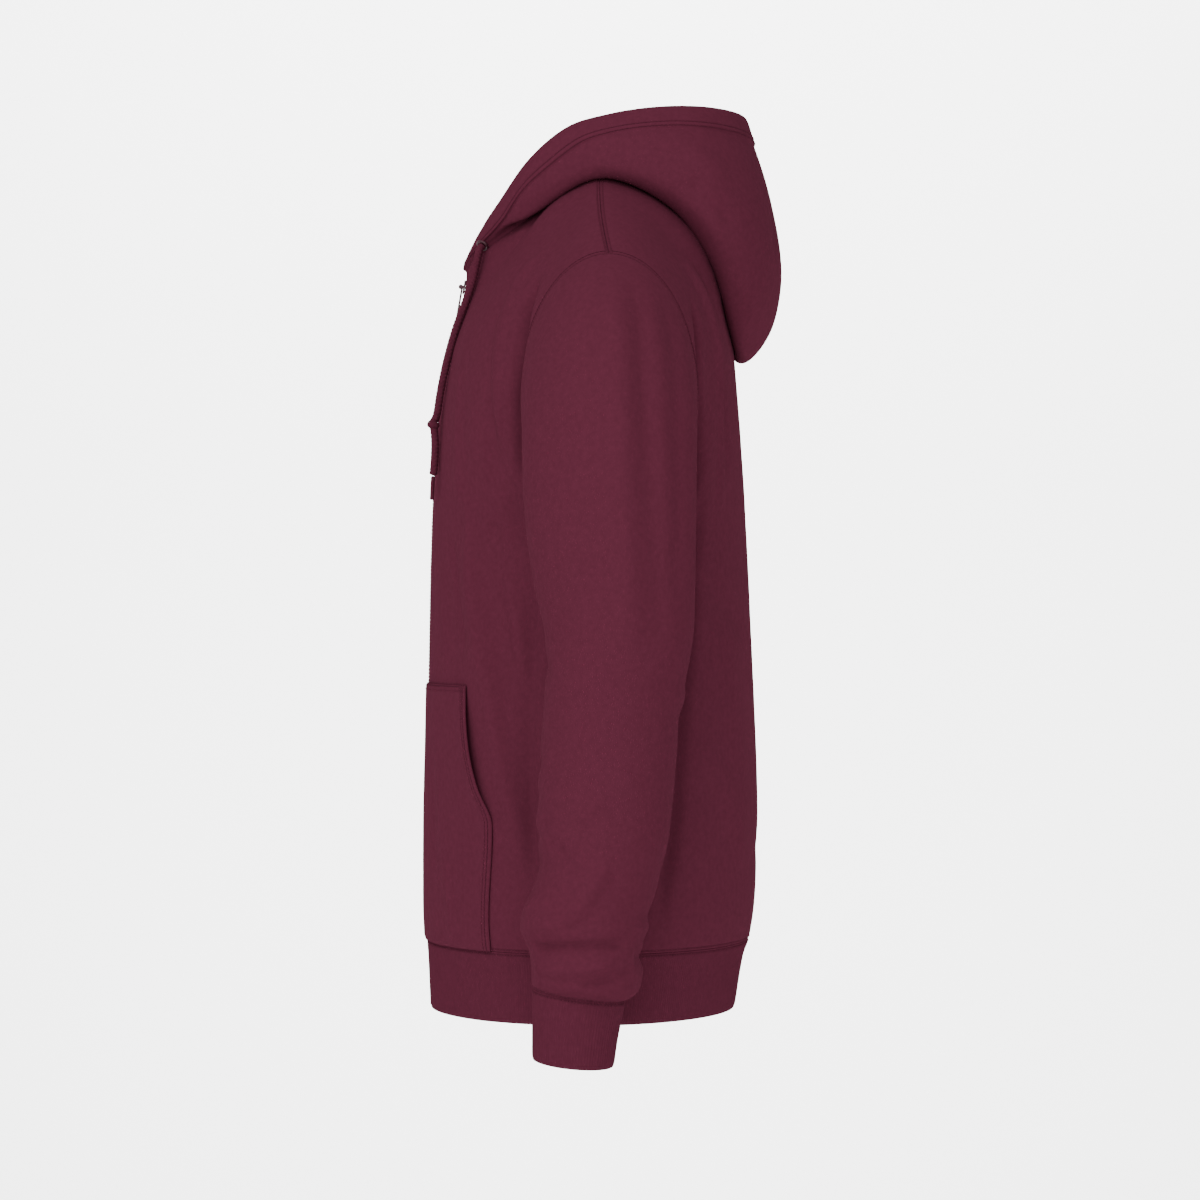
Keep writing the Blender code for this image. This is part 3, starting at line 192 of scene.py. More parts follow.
# hand, turn and ring at each end, reach, height
SLEEVE_FOLDS = (
    (1, 100, 17.4, 190, 15.2, 0.011, 0.0040),
    (1, 95, 18.7, 215, 18.9, 0.009, -0.0035),
    (1, 110, 19.9, 230, 19.9, 0.009, 0.0035),
    (1, 205, 3.0, 200, 10.0, 0.018, -0.0030),
    (1, 90, 13.2, 150, 14.4, 0.012, 0.0025),
    (-1, 105, 17.0, 195, 15.6, 0.011, 0.0040),
    (-1, 90, 18.5, 220, 18.8, 0.009, -0.0035),
    (-1, 120, 19.8, 235, 20.0, 0.009, 0.0035),
    (-1, 210, 3.4, 203, 9.0, 0.018, -0.0030),
    (-1, 95, 12.8, 160, 14.0, 0.012, 0.0025),
)

# Smaller creases, in tenths of a millimetre: the side a crease is seen from, its reach, its height, and its line
# of (across, up)
Crease = namedtuple("Crease", "view reach height line")


def crease_table(*rows):
    """The creases of a table, in metres."""
    return [Crease(view, reach / 10000, height / 10000, np.array(line) / 10000) for view, reach, height, *line in rows]


SEAM_CREASES = crease_table(
    ("left", 70, -62, (-560, -990), (-595, -1120), (-622, -1250), (-650, -1448), (-664, -1647), (-672, -1892),
     (-672, -2218), (-662, -2464), (-640, -2760)),
    ("left", 100, -85, (-535, -930), (-590, -1130), (-625, -1335), (-655, -1600), (-670, -1900), (-672, -2250)),
    ("left", 75, -102, (760, -1090), (788, -1335), (805, -1600), (810, -1964), (805, -2383), (785, -3000)),
    ("right", 70, -58, (-540, -960), (-590, -1150), (-650, -1560), (-665, -2100), (-640, -2700)),
    ("right", 70, -70, (760, -1100), (830, -1450), (860, -1850), (850, -2650)),
)
BODY_CREASES = crease_table(
    ("left", 95, 30, (-417, -664), (-592, -847), (-709, -1089), (-775, -1314), (-817, -1647), (-834, -1981),
     (-817, -2431)),
    ("left", 90, -12, (-880, -1500), (-905, -1981), (-905, -2431), (-880, -2800)),
    ("left", 100, 28, (-1140, -2550), (-1090, -3137), (-1039, -3640), (-922, -4311), (-796, -4914), (-696, -5568),
     (-654, -5987)),
    ("left", 90, -26, (-1257, -3053), (-1174, -3808), (-1090, -4143)),
    ("left", 90, 22, (-836, -2971), (-786, -3473), (-660, -4100), (-585, -4476)),
    ("left", 80, -20, (-897, -2961), (-763, -3447)),
    ("left", 100, -32, (-634, -3307), (-567, -3973), (-600, -4474), (-590, -4974), (-559, -5558), (-567, -6141)),
    ("left", 100, 26, (595, -698), (796, -941), (922, -1259), (956, -1528), (989, -2198), (1023, -2969)),
    ("left", 85, -46, (855, -2400), (840, -2900), (775, -3640), (690, -4470), (640, -5300), (590, -5720),
     (510, -6140), (480, -6500)),
    ("right", 85, -42, (850, -2500), (800, -3400), (700, -4300), (620, -5400), (520, -6150)),
    ("right", 100, 26, (-500, -760), (-660, -1010), (-770, -1400), (-815, -1850), (-800, -2350)),
    ("right", 110, 26, (-1180, -2700), (-1080, -3500), (-930, -4250), (-780, -5050), (-700, -5700)),
    ("right", 90, 18, (-860, -3150), (-740, -3800), (-640, -4350)),
    ("right", 100, -30, (-640, -3400), (-580, -4150), (-610, -5000), (-570, -5900)),
    ("right", 100, 24, (640, -780), (860, -1120), (950, -1600), (1000, -2500)),
    ("front", 120, -14, (200, -3000), (400, -3450), (520, -4000)),
    ("front", 130, -14, (-180, -2400), (-360, -3000), (-460, -3720)),
    ("front", 120, 20, (1200, -1500), (1320, -2050), (1280, -2900)),
    ("front", 120, 18, (-1260, -1620), (-1350, -2150), (-1310, -2800)),
    ("front", 140, -14, (600, -4800), (820, -5400), (900, -6100)),
    ("front", 140, -14, (-520, -5000), (-780, -5650), (-840, -6250)),
    ("front", 80, 14, (1080, -5850), (1220, -6220), (1240, -6550)),
    ("front", 80, 14, (-1120, -5700), (-1200, -6120), (-1280, -6520)),
    ("back", 130, 22, (1500, -1500), (1280, -2000), (1180, -2700)),
    ("back", 130, 22, (-1520, -1420), (-1320, -1900), (-1240, -2550)),
    ("back", 150, -20, (1760, -3300), (1300, -3720), (700, -3920)),
    ("back", 150, -20, (-1780, -3450), (-1200, -3980), (-500, -4240)),
    ("back", 160, 20, (1650, -4800), (1200, -5350), (950, -6000)),
    ("back", 160, 18, (-1500, -5000), (-1120, -5600), (-1000, -6200)),
    ("back", 140, -14, (300, -5600), (-100, -6000), (-300, -6400)),
)
SLEEVE_CREASES = crease_table(
    ("left", 145, 42, (95, -900), (120, -1250), (135, -1634), (150, -2035), (180, -2838), (225, -3640), (270, -4300)),
    ("left", 110, -18, (270, -990), (310, -1300), (345, -1634), (375, -2035), (430, -2838), (480, -3640),
     (500, -4200)),
    ("left", 160, -26, (500, -1050), (600, -1600), (640, -2300), (630, -3200), (600, -4000)),
    ("left", 60, 18, (-201, -5442), (-80, -5313), (48, -5217)),
    ("left", 70, -14, (-400, -5560), (-250, -5720), (-180, -5880)),
    ("left", 85, 30, (-565, -6238), (-387, -6238), (-202, -6157), (-32, -5899), (81, -5657)),
    ("left", 65, -48, (-540, -6430), (-202, -6425), (240, -6399)),
    ("left", 65, 36, (-530, -6600), (-161, -6610), (140, -6520)),
    ("left", 55, -24, (-178, -6763), (32, -6682), (275, -6585)),
    ("right", 110, 32, (110, -1150), (140, -1800), (180, -2700), (230, -3500)),
    ("right", 120, -16, (310, -1250), (350, -1950), (430, -3100)),
    ("right", 60, 18, (-260, -5350), (-100, -5250), (20, -5100)),
    ("right", 75, 26, (-540, -6150), (-350, -6180), (-150, -6050), (50, -5750)),
    ("right", 65, -36, (-500, -6370), (-150, -6400), (180, -6350)),
    ("right", 65, 28, (-480, -6560), (-100, -6600), (150, -6540)),
    ("right", 55, -22, (-150, -6740), (100, -6660), (260, -6600)),
    ("front", 80, 18, (2700, -5200), (3000, -5050), (3250, -4800)),
    ("front", 80, -20, (2620, -5600), (2960, -5560), (3260, -5350)),
    ("front", 80, 18, (-2680, -5080), (-2960, -5000), (-3280, -4680)),
    ("front", 80, -20, (-2620, -5480), (-3000, -5480), (-3300, -5200)),
    ("front", 100, -20, (2550, -3900), (2800, -4150), (3180, -4250)),
    ("front", 100, -20, (-2520, -3800), (-2820, -4020), (-3200, -4180)),
    ("back", 100, 18, (2620, -4300), (2900, -4480), (3200, -4400)),
    ("back", 100, 18, (-2620, -4400), (-2920, -4520), (-3220, -4360)),
    ("back", 80, 24, (2620, -6360), (2900, -6280), (3200, -6300)),
    ("back", 80, 24, (-2620, -6300), (-2900, -6340), (-3200, -6280)),
    ("back", 70, -22, (2620, -6580), (2920, -6520), (3180, -6540)),
    ("back", 70, -22, (-2620, -6540), (-2920, -6560), (-3180, -6500)),
)
HOOD_CREASES = crease_table(
    ("left", 120, -22, (700, -50), (920, -260), (1160, -480)),
    ("left", 120, 14, (500, 300), (820, 120), (1120, -60)),
    ("right", 120, -22, (640, 20), (900, -180), (1100, -420)),
    ("back", 120, -18, (200, -200), (520, -400), (700, -700)),
    ("back", 120, -18, (-260, -120), (-560, -340), (-780, -600)),
)

# Pocket: height and x of its outer edge
POCKET = np.array([
    (-0.436, 0.1450), (-0.465, 0.1500), (-0.4935, 0.1560), (-0.522, 0.1640), (-0.550, 0.1740), (-0.6585, 0.1680),
])
PLAIN_EDGE_Z, MOUTH_TOP_Z, MOUTH_END_Z = -0.330, -0.436, -0.550
# How far the mouth stands open, and over how many columns
MOUTH_LIFT, MOUTH_REACH = 0.0045, 2.5

# Zip
CHAIN_FRONT, CHAIN_BACK = 0.0004, -0.0024
STOP_HEIGHT = 0.0115
SLIDER_Z, SLIDER_LENGTH, POST_HEIGHT = -0.0905, 0.0115, 0.0022

# Drawstring
CORD_RADIUS = 0.0035
CORD_ROUTE = (
    (0.04902, -0.10160, -0.05752), (0.05255, -0.10416, -0.06165),
    (0.0560, -0.1070, -0.0745), (0.0585, -0.1090, -0.0850), (0.0610, -0.1125, -0.0975),
    (0.0635, -0.1175, -0.1120), (0.0655, -0.1240, -0.1300), (0.0665, -0.1292, -0.1480),
    (0.0672, -0.1338, -0.1670), (0.0678, -0.1375, -0.1860), (0.0683, -0.1404, -0.2043),
)
KNOT_CENTRE = (0.0698, -0.1432, -0.2115)
KNOT_SIZE = (0.0062, 0.0056, 0.0074)
TAIL_ROUTE = (
    (0.0702, -0.1424, -0.2196), (0.0708, -0.1419, -0.2290), (0.0712, -0.1421, -0.2400),
    (0.0713, -0.1427, -0.2500), (0.0710, -0.1436, -0.2570),
)
TIP_ROUTE = (
    (0.07095, -0.14365, -0.25735), (0.0706, -0.1440, -0.2640), (0.0703, -0.1444, -0.2710),
    (0.0700, -0.1448, -0.2780),
)
TIP_RADIUS = 0.0017
EYELET_RADIUS = 0.0045
# The beaded edge of each zip tape, which the teeth grip: radius, distance from the middle, depth behind the front
BEAD_RADIUS, BEAD_X, BEAD_DEPTH = 0.0008, 0.0031, 0.0016


# Settings


class SweatshirtCloth(bpy.types.PropertyGroup):
    """Colours and surface of the cloth"""

    body_colour: bpy.props.FloatVectorProperty(
        name="Fleece colour", description="Colour of the smooth face of the fleece",
        subtype="COLOR", size=3, min=0, max=1, default=(0.0750, 0.0147, 0.0281),
    )
    rib_colour: bpy.props.FloatVectorProperty(
        name="Rib colour", description="Colour of the cuffs and the hem band",
        subtype="COLOR", size=3, min=0, max=1, default=(0.0702, 0.0137, 0.0263),
    )
    crease_depth: bpy.props.FloatProperty(
        name="Crease depth", description="How deep the small creases are, as a share of their table",
        subtype="FACTOR", min=0, max=2, default=1.4,
    )
    ripple: bpy.props.FloatProperty(
        name="Ripple", description="Height of the cloth's slight unevenness",
        subtype="DISTANCE", unit="LENGTH", min=0, max=0.002, default=0.00045,
    )
    rib_pitch: bpy.props.FloatProperty(
        name="Rib pitch", description="Distance from one rib to the next",
        subtype="DISTANCE", unit="LENGTH", min=0.001, max=0.006, default=0.0024,
    )
    rib_height: bpy.props.FloatProperty(
        name="Rib height", description="How far a rib stands out of the middle of the rib knit",
        subtype="DISTANCE", unit="LENGTH", min=0, max=0.001, default=0.00020,
    )


class SweatshirtStitching(bpy.types.PropertyGroup):
    """The needle lines"""

    thread_colour: bpy.props.FloatVectorProperty(
        name="Thread colour", description="Colour of the sewing thread",
        subtype="COLOR", size=3, min=0, max=1, default=(0.0766, 0.0150, 0.0284),
    )
    stitch_length: bpy.props.FloatProperty(
        name="Stitch length", description="Distance from one stitch to the next",
        subtype="DISTANCE", unit="LENGTH", min=0.0015, max=0.006, default=0.0032,
    )
    needle_gap: bpy.props.FloatProperty(
        name="Needle gap", description="Distance between the two lines of a twin-needle seam",
        subtype="DISTANCE", unit="LENGTH", min=0.002, max=0.008, default=0.0044,
    )


class SweatshirtTrims(bpy.types.PropertyGroup):
    """The zip and the drawstring"""

    cord_colour: bpy.props.FloatVectorProperty(
        name="Cord colour", description="Colour of the drawstring",
        subtype="COLOR", size=3, min=0, max=1, default=(0.0702, 0.0137, 0.0263),
    )
    zip_colour: bpy.props.FloatVectorProperty(
        name="Zip colour", description="Colour of the zip's teeth",
        subtype="COLOR", size=3, min=0, max=1, default=(0.0500, 0.0100, 0.0185),
    )
    metal_colour: bpy.props.FloatVectorProperty(
        name="Enamel colour", description="Colour of the slider, stop and eyelets",
        subtype="COLOR", size=3, min=0, max=1, default=(0.0480, 0.0110, 0.0190),
    )
    tooth_pitch: bpy.props.FloatProperty(
        name="Tooth pitch", description="Distance between two teeth of one side",
        subtype="DISTANCE", unit="LENGTH", min=0.0015, max=0.005, default=0.0025,
    )
    braid_pitch: bpy.props.FloatProperty(
        name="Braid pitch", description="Length in which a strand goes once round the cord",
        subtype="DISTANCE", unit="LENGTH", min=0.004, max=0.03, default=0.014,
    )


class SweatshirtStudio(bpy.types.PropertyGroup):
    """The stage, the lights and the camera"""

    camera_distance: bpy.props.FloatProperty(
        name="Camera distance", description="Distance of the camera from the middle of the garment",
        subtype="DISTANCE", unit="LENGTH", min=1, max=20, default=3.9,
    )
    lens: bpy.props.FloatProperty(
        name="Lens", description="Focal length of the camera in millimetres", min=20, max=300, default=133.6,
    )
    key_power: bpy.props.FloatProperty(
        name="Key light", description="Power of the high light in front of the garment", unit="POWER",
        min=0, max=1000, default=78,
    )
    side_power: bpy.props.FloatProperty(
        name="Side light", description="Power of the low light at the garment's side", unit="POWER",
        min=0, max=1000, default=66,
    )
    backdrop_power: bpy.props.FloatProperty(
        name="Backdrop light", description="Power of the light that only the backdrop sees", unit="POWER",
        min=0, max=5000, default=1000,
    )
    ambient: bpy.props.FloatProperty(
        name="Ambient light", description="Strength of the light from all round", min=0, max=5, default=0.98,
    )


# Curves through table rows

# Fine steps to each span of a hood's column, a cord, a crease and the body, and round the cuff and half the hem
COLUMN_FINE, ROUTE_FINE, CREASE_FINE, ROW_FINE, CUFF_FINE, HEM_FINE = 80, 40, 4, 4, 2000, 600


def spline(keys, values, at):
    """The values at places on a smooth curve through the rows, whose keys rise."""
    keys, values, at = (np.asarray(item, float) for item in (keys, values, at))
    last = len(keys) - 1
    i = np.clip(np.searchsorted(keys, at, side="right") - 1, 0, last - 1)
    a, b = np.maximum(i - 1, 0), np.minimum(i + 2, last)
    wide = at.shape + (1,) * (values.ndim - 1)
    span = (keys[i + 1] - keys[i]).reshape(wide)
    t = (at - keys[i]).reshape(wide) / span
    slope_0 = (values[i + 1] - values[a]) / (keys[i + 1] - keys[a]).reshape(wide) * span
    slope_1 = (values[b] - values[i]) / (keys[b] - keys[i]).reshape(wide) * span
    return (
        values[i] * (2 * t**3 - 3 * t**2 + 1)
        + slope_0 * (t**3 - 2 * t**2 + t)
        + values[i + 1] * (3 * t**2 - 2 * t**3)
        + slope_1 * (t**3 - t**2)
    )


def smoothstep(t):
    """From 0 to 1 as t does, and level at both."""
    t = np.clip(t, 0, 1)
    return t * t * (3 - 2 * t)


def unit(vectors):
    """The vectors' directions."""
    return vectors / np.maximum(np.linalg.norm(vectors, axis=-1, keepdims=True), 1e-12)


def mirrored(points, hand):
    """The points, mirrored where the hand is -1."""
    return points * np.array((hand, 1, 1))


def gone_along(line):
    """How far along a line of points each of them is."""
    return np.concatenate([[0], np.cumsum(np.linalg.norm(np.diff(line, axis=0), axis=1))])


def at_lengths(lengths, gone, points):
    """Places on a line of points, by how far along it they are."""
    return np.stack([np.interp(lengths, gone, points[:, k]) for k in range(3)], -1)


def steps(last, per, near):
    """Places from 0 to last, so many a unit, with some more close to both ends."""
    places = set(np.linspace(0, last, round(last * per) + 1).round(9))
    places |= {round(gap, 9) for gap in near} | {round(last - gap, 9) for gap in near}
    return np.array(sorted(places))


# Body panels


def level(z):
    """The body's front, back, side and half width at heights."""
    found = spline(-BODY[:, 0], BODY[:, 1:], -np.asarray(z))
    return tuple(found[..., i] for i in range(4))


def pocket_turn(z):
    """The angle round the front of the column that carries the pocket's outer edge."""
    plain = math.radians(90 * POCKET_COLUMN / COLUMNS)
    low = np.clip(-z, -POCKET[0, 0], -POCKET[-1, 0])
    x = spline(-POCKET[:, 0], POCKET[:, 1], low)
    half_width = level(np.minimum(z, POCKET[0, 0]))[3]
    edge = np.arcsin(np.minimum(x / half_width, 1))
    return plain + (edge - plain) * smoothstep((PLAIN_EDGE_Z - z) / (PLAIN_EDGE_Z - MOUTH_TOP_Z))


def column_turn(face, column, z):
    """The angle round the body of a column, from 0 at the middle to 90 degrees at the side."""
    start = np.arcsin(FRONT_EDGE_X / level(z)[3]) if face == FRONT else np.zeros_like(z)
    side = math.pi / 2
    edge = pocket_turn(z) if face == FRONT else np.full_like(z, side * POCKET_COLUMN / COLUMNS)
    inner = start + (edge - start) * column / POCKET_COLUMN
    outer = edge + (side - edge) * (column - POCKET_COLUMN) / (COLUMNS - POCKET_COLUMN)
    return np.where(column <= POCKET_COLUMN, inner, outer)


def top_edge(face, column):
    """The neckline, then the shoulder seam."""
    rows = NECK_FRONT if face == FRONT else NECK_BACK
    neck = spline(range(NECK_COLUMNS + 1), rows, np.minimum(column, NECK_COLUMNS))
    along = np.clip((column - NECK_COLUMNS) / (COLUMNS - NECK_COLUMNS), 0, 1)
    x = NECK_FRONT[-1, 0] + (SHOULDER_X - NECK_FRONT[-1, 0]) * along
    shoulder = np.stack([x, np.zeros_like(x), SHOULDER_Z * along**SHOULDER_FALL], -1)
    return np.where((column <= NECK_COLUMNS)[..., None], neck, shoulder)


def depth(face, x, z):
    """How far forward or back the body is, at places across it."""
    front, back, side, half_width = level(z)
    reach = front if face == FRONT else back
    return side + (reach - side) * np.sqrt(np.maximum(1 - (x / half_width) ** 2, 0))


def chest_points(face, column, row):
    """Points beside the armhole, before they are fitted to the armhole's edge."""
    top = top_edge(face, column)
    drop = (1 - np.cos(math.pi * row / ARM_ROWS)) / 2
    z = top[..., 2] + (UNDERARM_Z - top[..., 2]) * drop
    low = np.full_like(z, UNDERARM_Z)
    wide = level(low)[3] * np.sin(column_turn(face, column, low))
    x = top[..., 0] + (wide - top[..., 0]) * drop
    bend = ROUND_FRONT if face == FRONT else ROUND_BACK
    round_drop = bend.at_neck + (bend.drop - bend.at_neck) * np.minimum(column / NECK_COLUMNS, 1)
    down = np.clip((top[..., 2] - z) / round_drop, 0, 1)
    out = (1 - (1 - down) ** bend.rise) ** (1 / bend.turn)
    y = top[..., 1] + (depth(face, x, z) - top[..., 1]) * out
    return np.stack([x, y, z], -1)


def body_points(face, columns, rows):
    """Points of the left half of the body's middle surface, a row of them for each row."""
    column, row = np.meshgrid(np.asarray(columns, float), np.asarray(rows, float))
    upper = np.minimum(row, ARM_ROWS)
    chest = chest_points(face, column, upper)
    near_arm = np.maximum((column - POCKET_COLUMN) / (COLUMNS - POCKET_COLUMN), 0) ** 2
    front, back = SLEEVE[0, 4], SLEEVE[0, 5]
    arm_y = (front + back) / 2 + face * (back - front) / 2 * np.sin(math.pi * upper / ARM_ROWS)
    edge_y = chest_points(face, np.full_like(column, COLUMNS), upper)[..., 1]
    chest[..., 1] += near_arm * (arm_y - edge_y)
    z = np.interp(np.maximum(row, ARM_ROWS), ARM_ROWS + np.arange(len(BODY_HEIGHTS)), BODY_HEIGHTS)
    x = level(z)[3] * np.sin(column_turn(face, column, z))
    trunk = np.stack([x, depth(face, x, z), z], -1)
    return np.where((row < ARM_ROWS)[..., None], chest, trunk)


# Sleeves and cuffs


def ring_points(rings, places, turns):
    """Rows of points round rings; a turn starts at the inner side and goes by the front to the outer side."""
    found = spline(range(len(rings)), rings, places)[:, None, :]
    inner_x, inner_z, outer_x, outer_z, front, back, pitch = (found[..., i] for i in range(7))
    cosine, behind = np.cos(turns)[None, :], -np.sin(turns)[None, :]
    x = (inner_x + outer_x) / 2 + (inner_x - outer_x) / 2 * cosine
    y = (front + back) / 2 + (back - front) / 2 * behind
    z = (inner_z + outer_z) / 2 + (inner_z - outer_z) / 2 * cosine - pitch / 2 * behind
    return np.stack([x, y, z], -1)


# Hood


def hood_columns(along):
    """For each place along the neck, the eight points that its column runs through."""
    before, last = HOOD[-2], HOOD[-1]
    other = before.copy()
    other[0], other[1::3] = 2 * last[0] - before[0], -before[1::3]
    rows = np.vstack([HOOD, other])
    found = spline(rows[:, 0], rows[:, 1:], along)
    floor, low, out, rim = (found[:, 3 * k : 3 * k + 3] for k in range(4))
    column = along * 2 * NECK_COLUMNS
    front = top_edge(FRONT, column)
    back = top_edge(BACK, 2 * NECK_COLUMNS - column)
    neck = np.where((column <= NECK_COLUMNS)[:, None], front, back)
    away = low - neck
    share = np.minimum(np.linalg.norm(away, axis=1) / SHORT_COLUMN, 1)[:, None]
    level_away = unit(away * (1, 1, 0))
    stand = neck + share * (HOOD_LEAN * level_away + np.array((0, 0, HOOD_STAND)))
    stand += (1 - share) * ((neck + floor) / 2 - stand)
    full = smoothstep((np.minimum(along, 2 - along) - FULLER_FROM) / FULLER_OVER)[:, None]
    under = (9 * (low + out) - floor - rim) / 16 + FULLER_BELOW * full * away_from(stand, low, out)
    over = (out + rim) / 2 + (2 * out - rim - low) / 16 + FULLER_ABOVE * full * away_from(stand, out, rim)
    return np.stack([neck, stand, floor, low, under, out, over, rim])


def away_from(inside, start, end):
    """The direction across each line from start to end that leads away from the inside."""
    way = unit(end - start)
    out = start - inside
    return unit(out - (out * way).sum(-1, keepdims=True) * way)


def hood_points(along, marks):
    """Rows of points: a mark goes from 0 at the neck seam to 1 at the casing and 2 at the rim."""
    through = hood_columns(along)
    last = len(through) - 1
    fine = np.linspace(0, last, COLUMN_FINE * last + 1)
    grid = np.zeros((len(marks), len(along), 3))
    for c in range(len(along)):
        line = spline(range(last + 1), through[:, c], fine)
        gone = gone_along(line)
        casing = min(CASING_WIDTH, CASING_SHARE * gone[-1])
        start = np.interp(gone[-1] - casing, gone, fine)
        over = np.interp(gone[-1] - casing * (2 - np.maximum(marks, 1)), gone, fine)
        places = np.where(marks <= 1, start * marks, over)
        grid[:, c] = spline(range(last + 1), through[:, c], places)
    return grid


# Creases

# Share of its length over which each end of a fold or a crease comes up, and how softly a rest fold's height turns
# where two stretches of its line are about as near
FOLD_ENDS, CREASE_ENDS, TURN_SHARE = 0.25, 0.2, 0.25
# How far folds stay clear of a seam that holds the cloth
HELD_REACH = 0.014
# How often lines are evened: a crease's, a rest fold's, and the cloth round the neck's corner
CREASE_PASSES, REST_PASSES, CORNER_PASSES = 4, 6, 8
# How squarely cloth faces a view to take a crease, and how much a crease's line holds to its last place
FACING, HOLD = 0.2, 0.12


def near_line(points, line):
    """The distance of points from a line of points, and how far along it the nearest place is."""
    best = np.full(points.shape[:-1], np.inf)
    along = np.zeros(points.shape[:-1])
    gone = gone_along(line)
    for i, length in enumerate(np.linalg.norm(np.diff(line, axis=0), axis=1)):
        way = line[i + 1] - line[i]
        t = np.clip(((points - line[i]) @ way) / length**2, 0, 1)
        away = np.linalg.norm(points - line[i] - t[..., None] * way, axis=-1)
        nearer = away < best
        best = np.where(nearer, away, best)
        along = np.where(nearer, (gone[i] + t * length) / gone[-1], along)
    return best, along


def large_fold(points, line, reach, height):
    """A smooth ridge or trough; a row of heights is spread along the line, and lies between where two are as near."""
    away, along = near_line(points, line)
    if np.ndim(height):
        gone = gone_along(line)
        gone /= gone[-1]
        apart = np.linalg.norm(points[..., None, :] - line, axis=-1)
        share = np.exp((away[..., None] - apart) / (TURN_SHARE * reach))
        share /= share.sum(-1, keepdims=True)
        along = share @ gone
        height = share @ spline(np.linspace(0, 1, len(height)), height, gone)
        ends = 1 - (2 * along - 1) ** 4
    else:
        ends = smoothstep(along / FOLD_ENDS) * smoothstep((1 - along) / FOLD_ENDS)
    return height * np.exp(-((away / reach) ** 2)) * ends


def small_crease(points, line, reach, height):
    """A ridge or trough with a slight return on both sides."""
    away, along = near_line(points, line)
    share = (away / reach) ** 2
    ridge = height * (1 - 0.5 * share) * np.exp(-share)
    return ridge * smoothstep(along / CREASE_ENDS) * smoothstep((1 - along) / CREASE_ENDS)


# Each view's axis across, axis towards the viewer, and that axis's sign
VIEWS = {"left": (1, 0, 1), "right": (1, 0, -1), "front": (0, 1, -1), "back": (0, 1, 1)}


def evened(line, times):
    """The line, or each column of a grid, with its small steps smoothed away."""
    line = np.array(line)
    for _ in range(times):
        line[1:-1] = (line[:-2] + 2 * line[1:-1] + line[2:]) / 4
    return line


def on_cloth(crease, panels):
    """The crease's line on the cloth that faces its view."""
    across, facing, sign = VIEWS[crease.view]
    points = np.concatenate([panel.points.reshape(-1, 3) for panel in panels])
    normals = np.concatenate([panel.normals.reshape(-1, 3) for panel in panels])
    towards = points[(unit(normals)[:, facing] * sign > FACING) & (points[:, facing] * sign > 0)]
    line, count = [], len(crease.line)
    for u, z in spline(range(count), crease.line, np.linspace(0, count - 1, CREASE_FINE * (count - 1) + 1)):
        gap = np.hypot(towards[:, across] - u, towards[:, 2] - z)
        if line:
            gap = gap + HOLD * np.linalg.norm(towards - line[-1], axis=1)
        line.append(towards[np.argmin(gap)])
    return evened(line, CREASE_PASSES)


# The cloth's unevenness: each part's share, and how many to the metre across and up
RIPPLES = ((0.7, (22, 22, 13)), (0.3, (70, 70, 45)))


def ripples(points):
    """A slight unevenness of the cloth, from 1 to -1."""
    found = [sum(share * noise.noise(Vector(p * many)) for share, many in RIPPLES) for p in points.reshape(-1, 3)]
    return np.array(found).reshape(points.shape[:-1])


# Panels and walls


class Panel:
    """A grid of points on the cloth's middle surface, with the directions out of it."""

    def __init__(self, points, closed=False, flip=False):
        self.points, self.closed, self.flip, self.seam_gap = points, closed, flip, SEAM_GAP
        self.normals = self.own_normals()

    def own_normals(self):
        """The directions out of the grid, by its own points alone."""
        points = self.points
        if self.closed:
            across = np.roll(points, -1, axis=1) - np.roll(points, 1, axis=1)
        else:
            across = np.gradient(points, axis=1)
        down = np.gradient(points, axis=0)
        return unit(np.cross(across, down)) * (-1 if self.flip else 1)

    def lengths(self):
        """How far each point is along its row and down its column."""
        points = self.points
        if self.closed:
            points = np.concatenate([points, points[:, :1]], axis=1)
        across = np.linalg.norm(np.diff(points, axis=1), axis=2)
        down = np.linalg.norm(np.diff(points, axis=0), axis=2)
        along = np.concatenate([np.zeros((len(points), 1)), np.cumsum(across, axis=1)], axis=1)
        below = np.concatenate([np.zeros((1, points.shape[1])), np.cumsum(down, axis=0)])
        return along, below

    def edge_distance(self):
        """How far each point is from the panel's nearest edge."""
        along, below = self.lengths()
        if self.closed:
            along, below = along[:, :-1], below[:, :-1]
        ends = np.minimum(below, below[-1:] - below)
        if self.closed:
            return ends
        return np.minimum(ends, np.minimum(along, along[:, -1:] - along))

    def pulled_back(self):
        """The points, with the edges moved in to leave the seam gap."""
        points, half = self.points.copy(), self.seam_gap / 2
        for edge, inner in ((0, 1), (-1, -2)):
            points[edge] += unit(self.points[inner] - self.points[edge]) * half
            if not self.closed:
                points[:, edge] += unit(self.points[:, inner] - self.points[:, edge]) * half
        return points


def share_normals(panels):
    """Gives points that several panels share one normal, lengthened so that each wall keeps its thickness."""
    points = np.concatenate([panel.points.reshape(-1, 3) for panel in panels])
    own = np.concatenate([panel.own_normals().reshape(-1, 3) for panel in panels])
    keys = np.round(points * 1e5).astype(np.int64)
    _, group = np.unique(keys, axis=0, return_inverse=True)
    group = group.reshape(-1)
    total = np.zeros((group.max() + 1, 3))
    np.add.at(total, group, own)
    shared = unit(total)[group]
    lean = np.bincount(group, (shared * own).sum(1)) / np.bincount(group)
    shared /= np.maximum(lean[group], MITER_LIMIT)[:, None]
    start = 0
    for panel in panels:
        count = panel.points[..., 0].size
        panel.normals = shared[start : start + count].reshape(panel.points.shape)
        start += count


def placed(creases, panels):
    """The creases' lines on the cloth, with their reach and height."""
    return [(on_cloth(crease, panels), crease.reach, crease.height) for crease in creases]


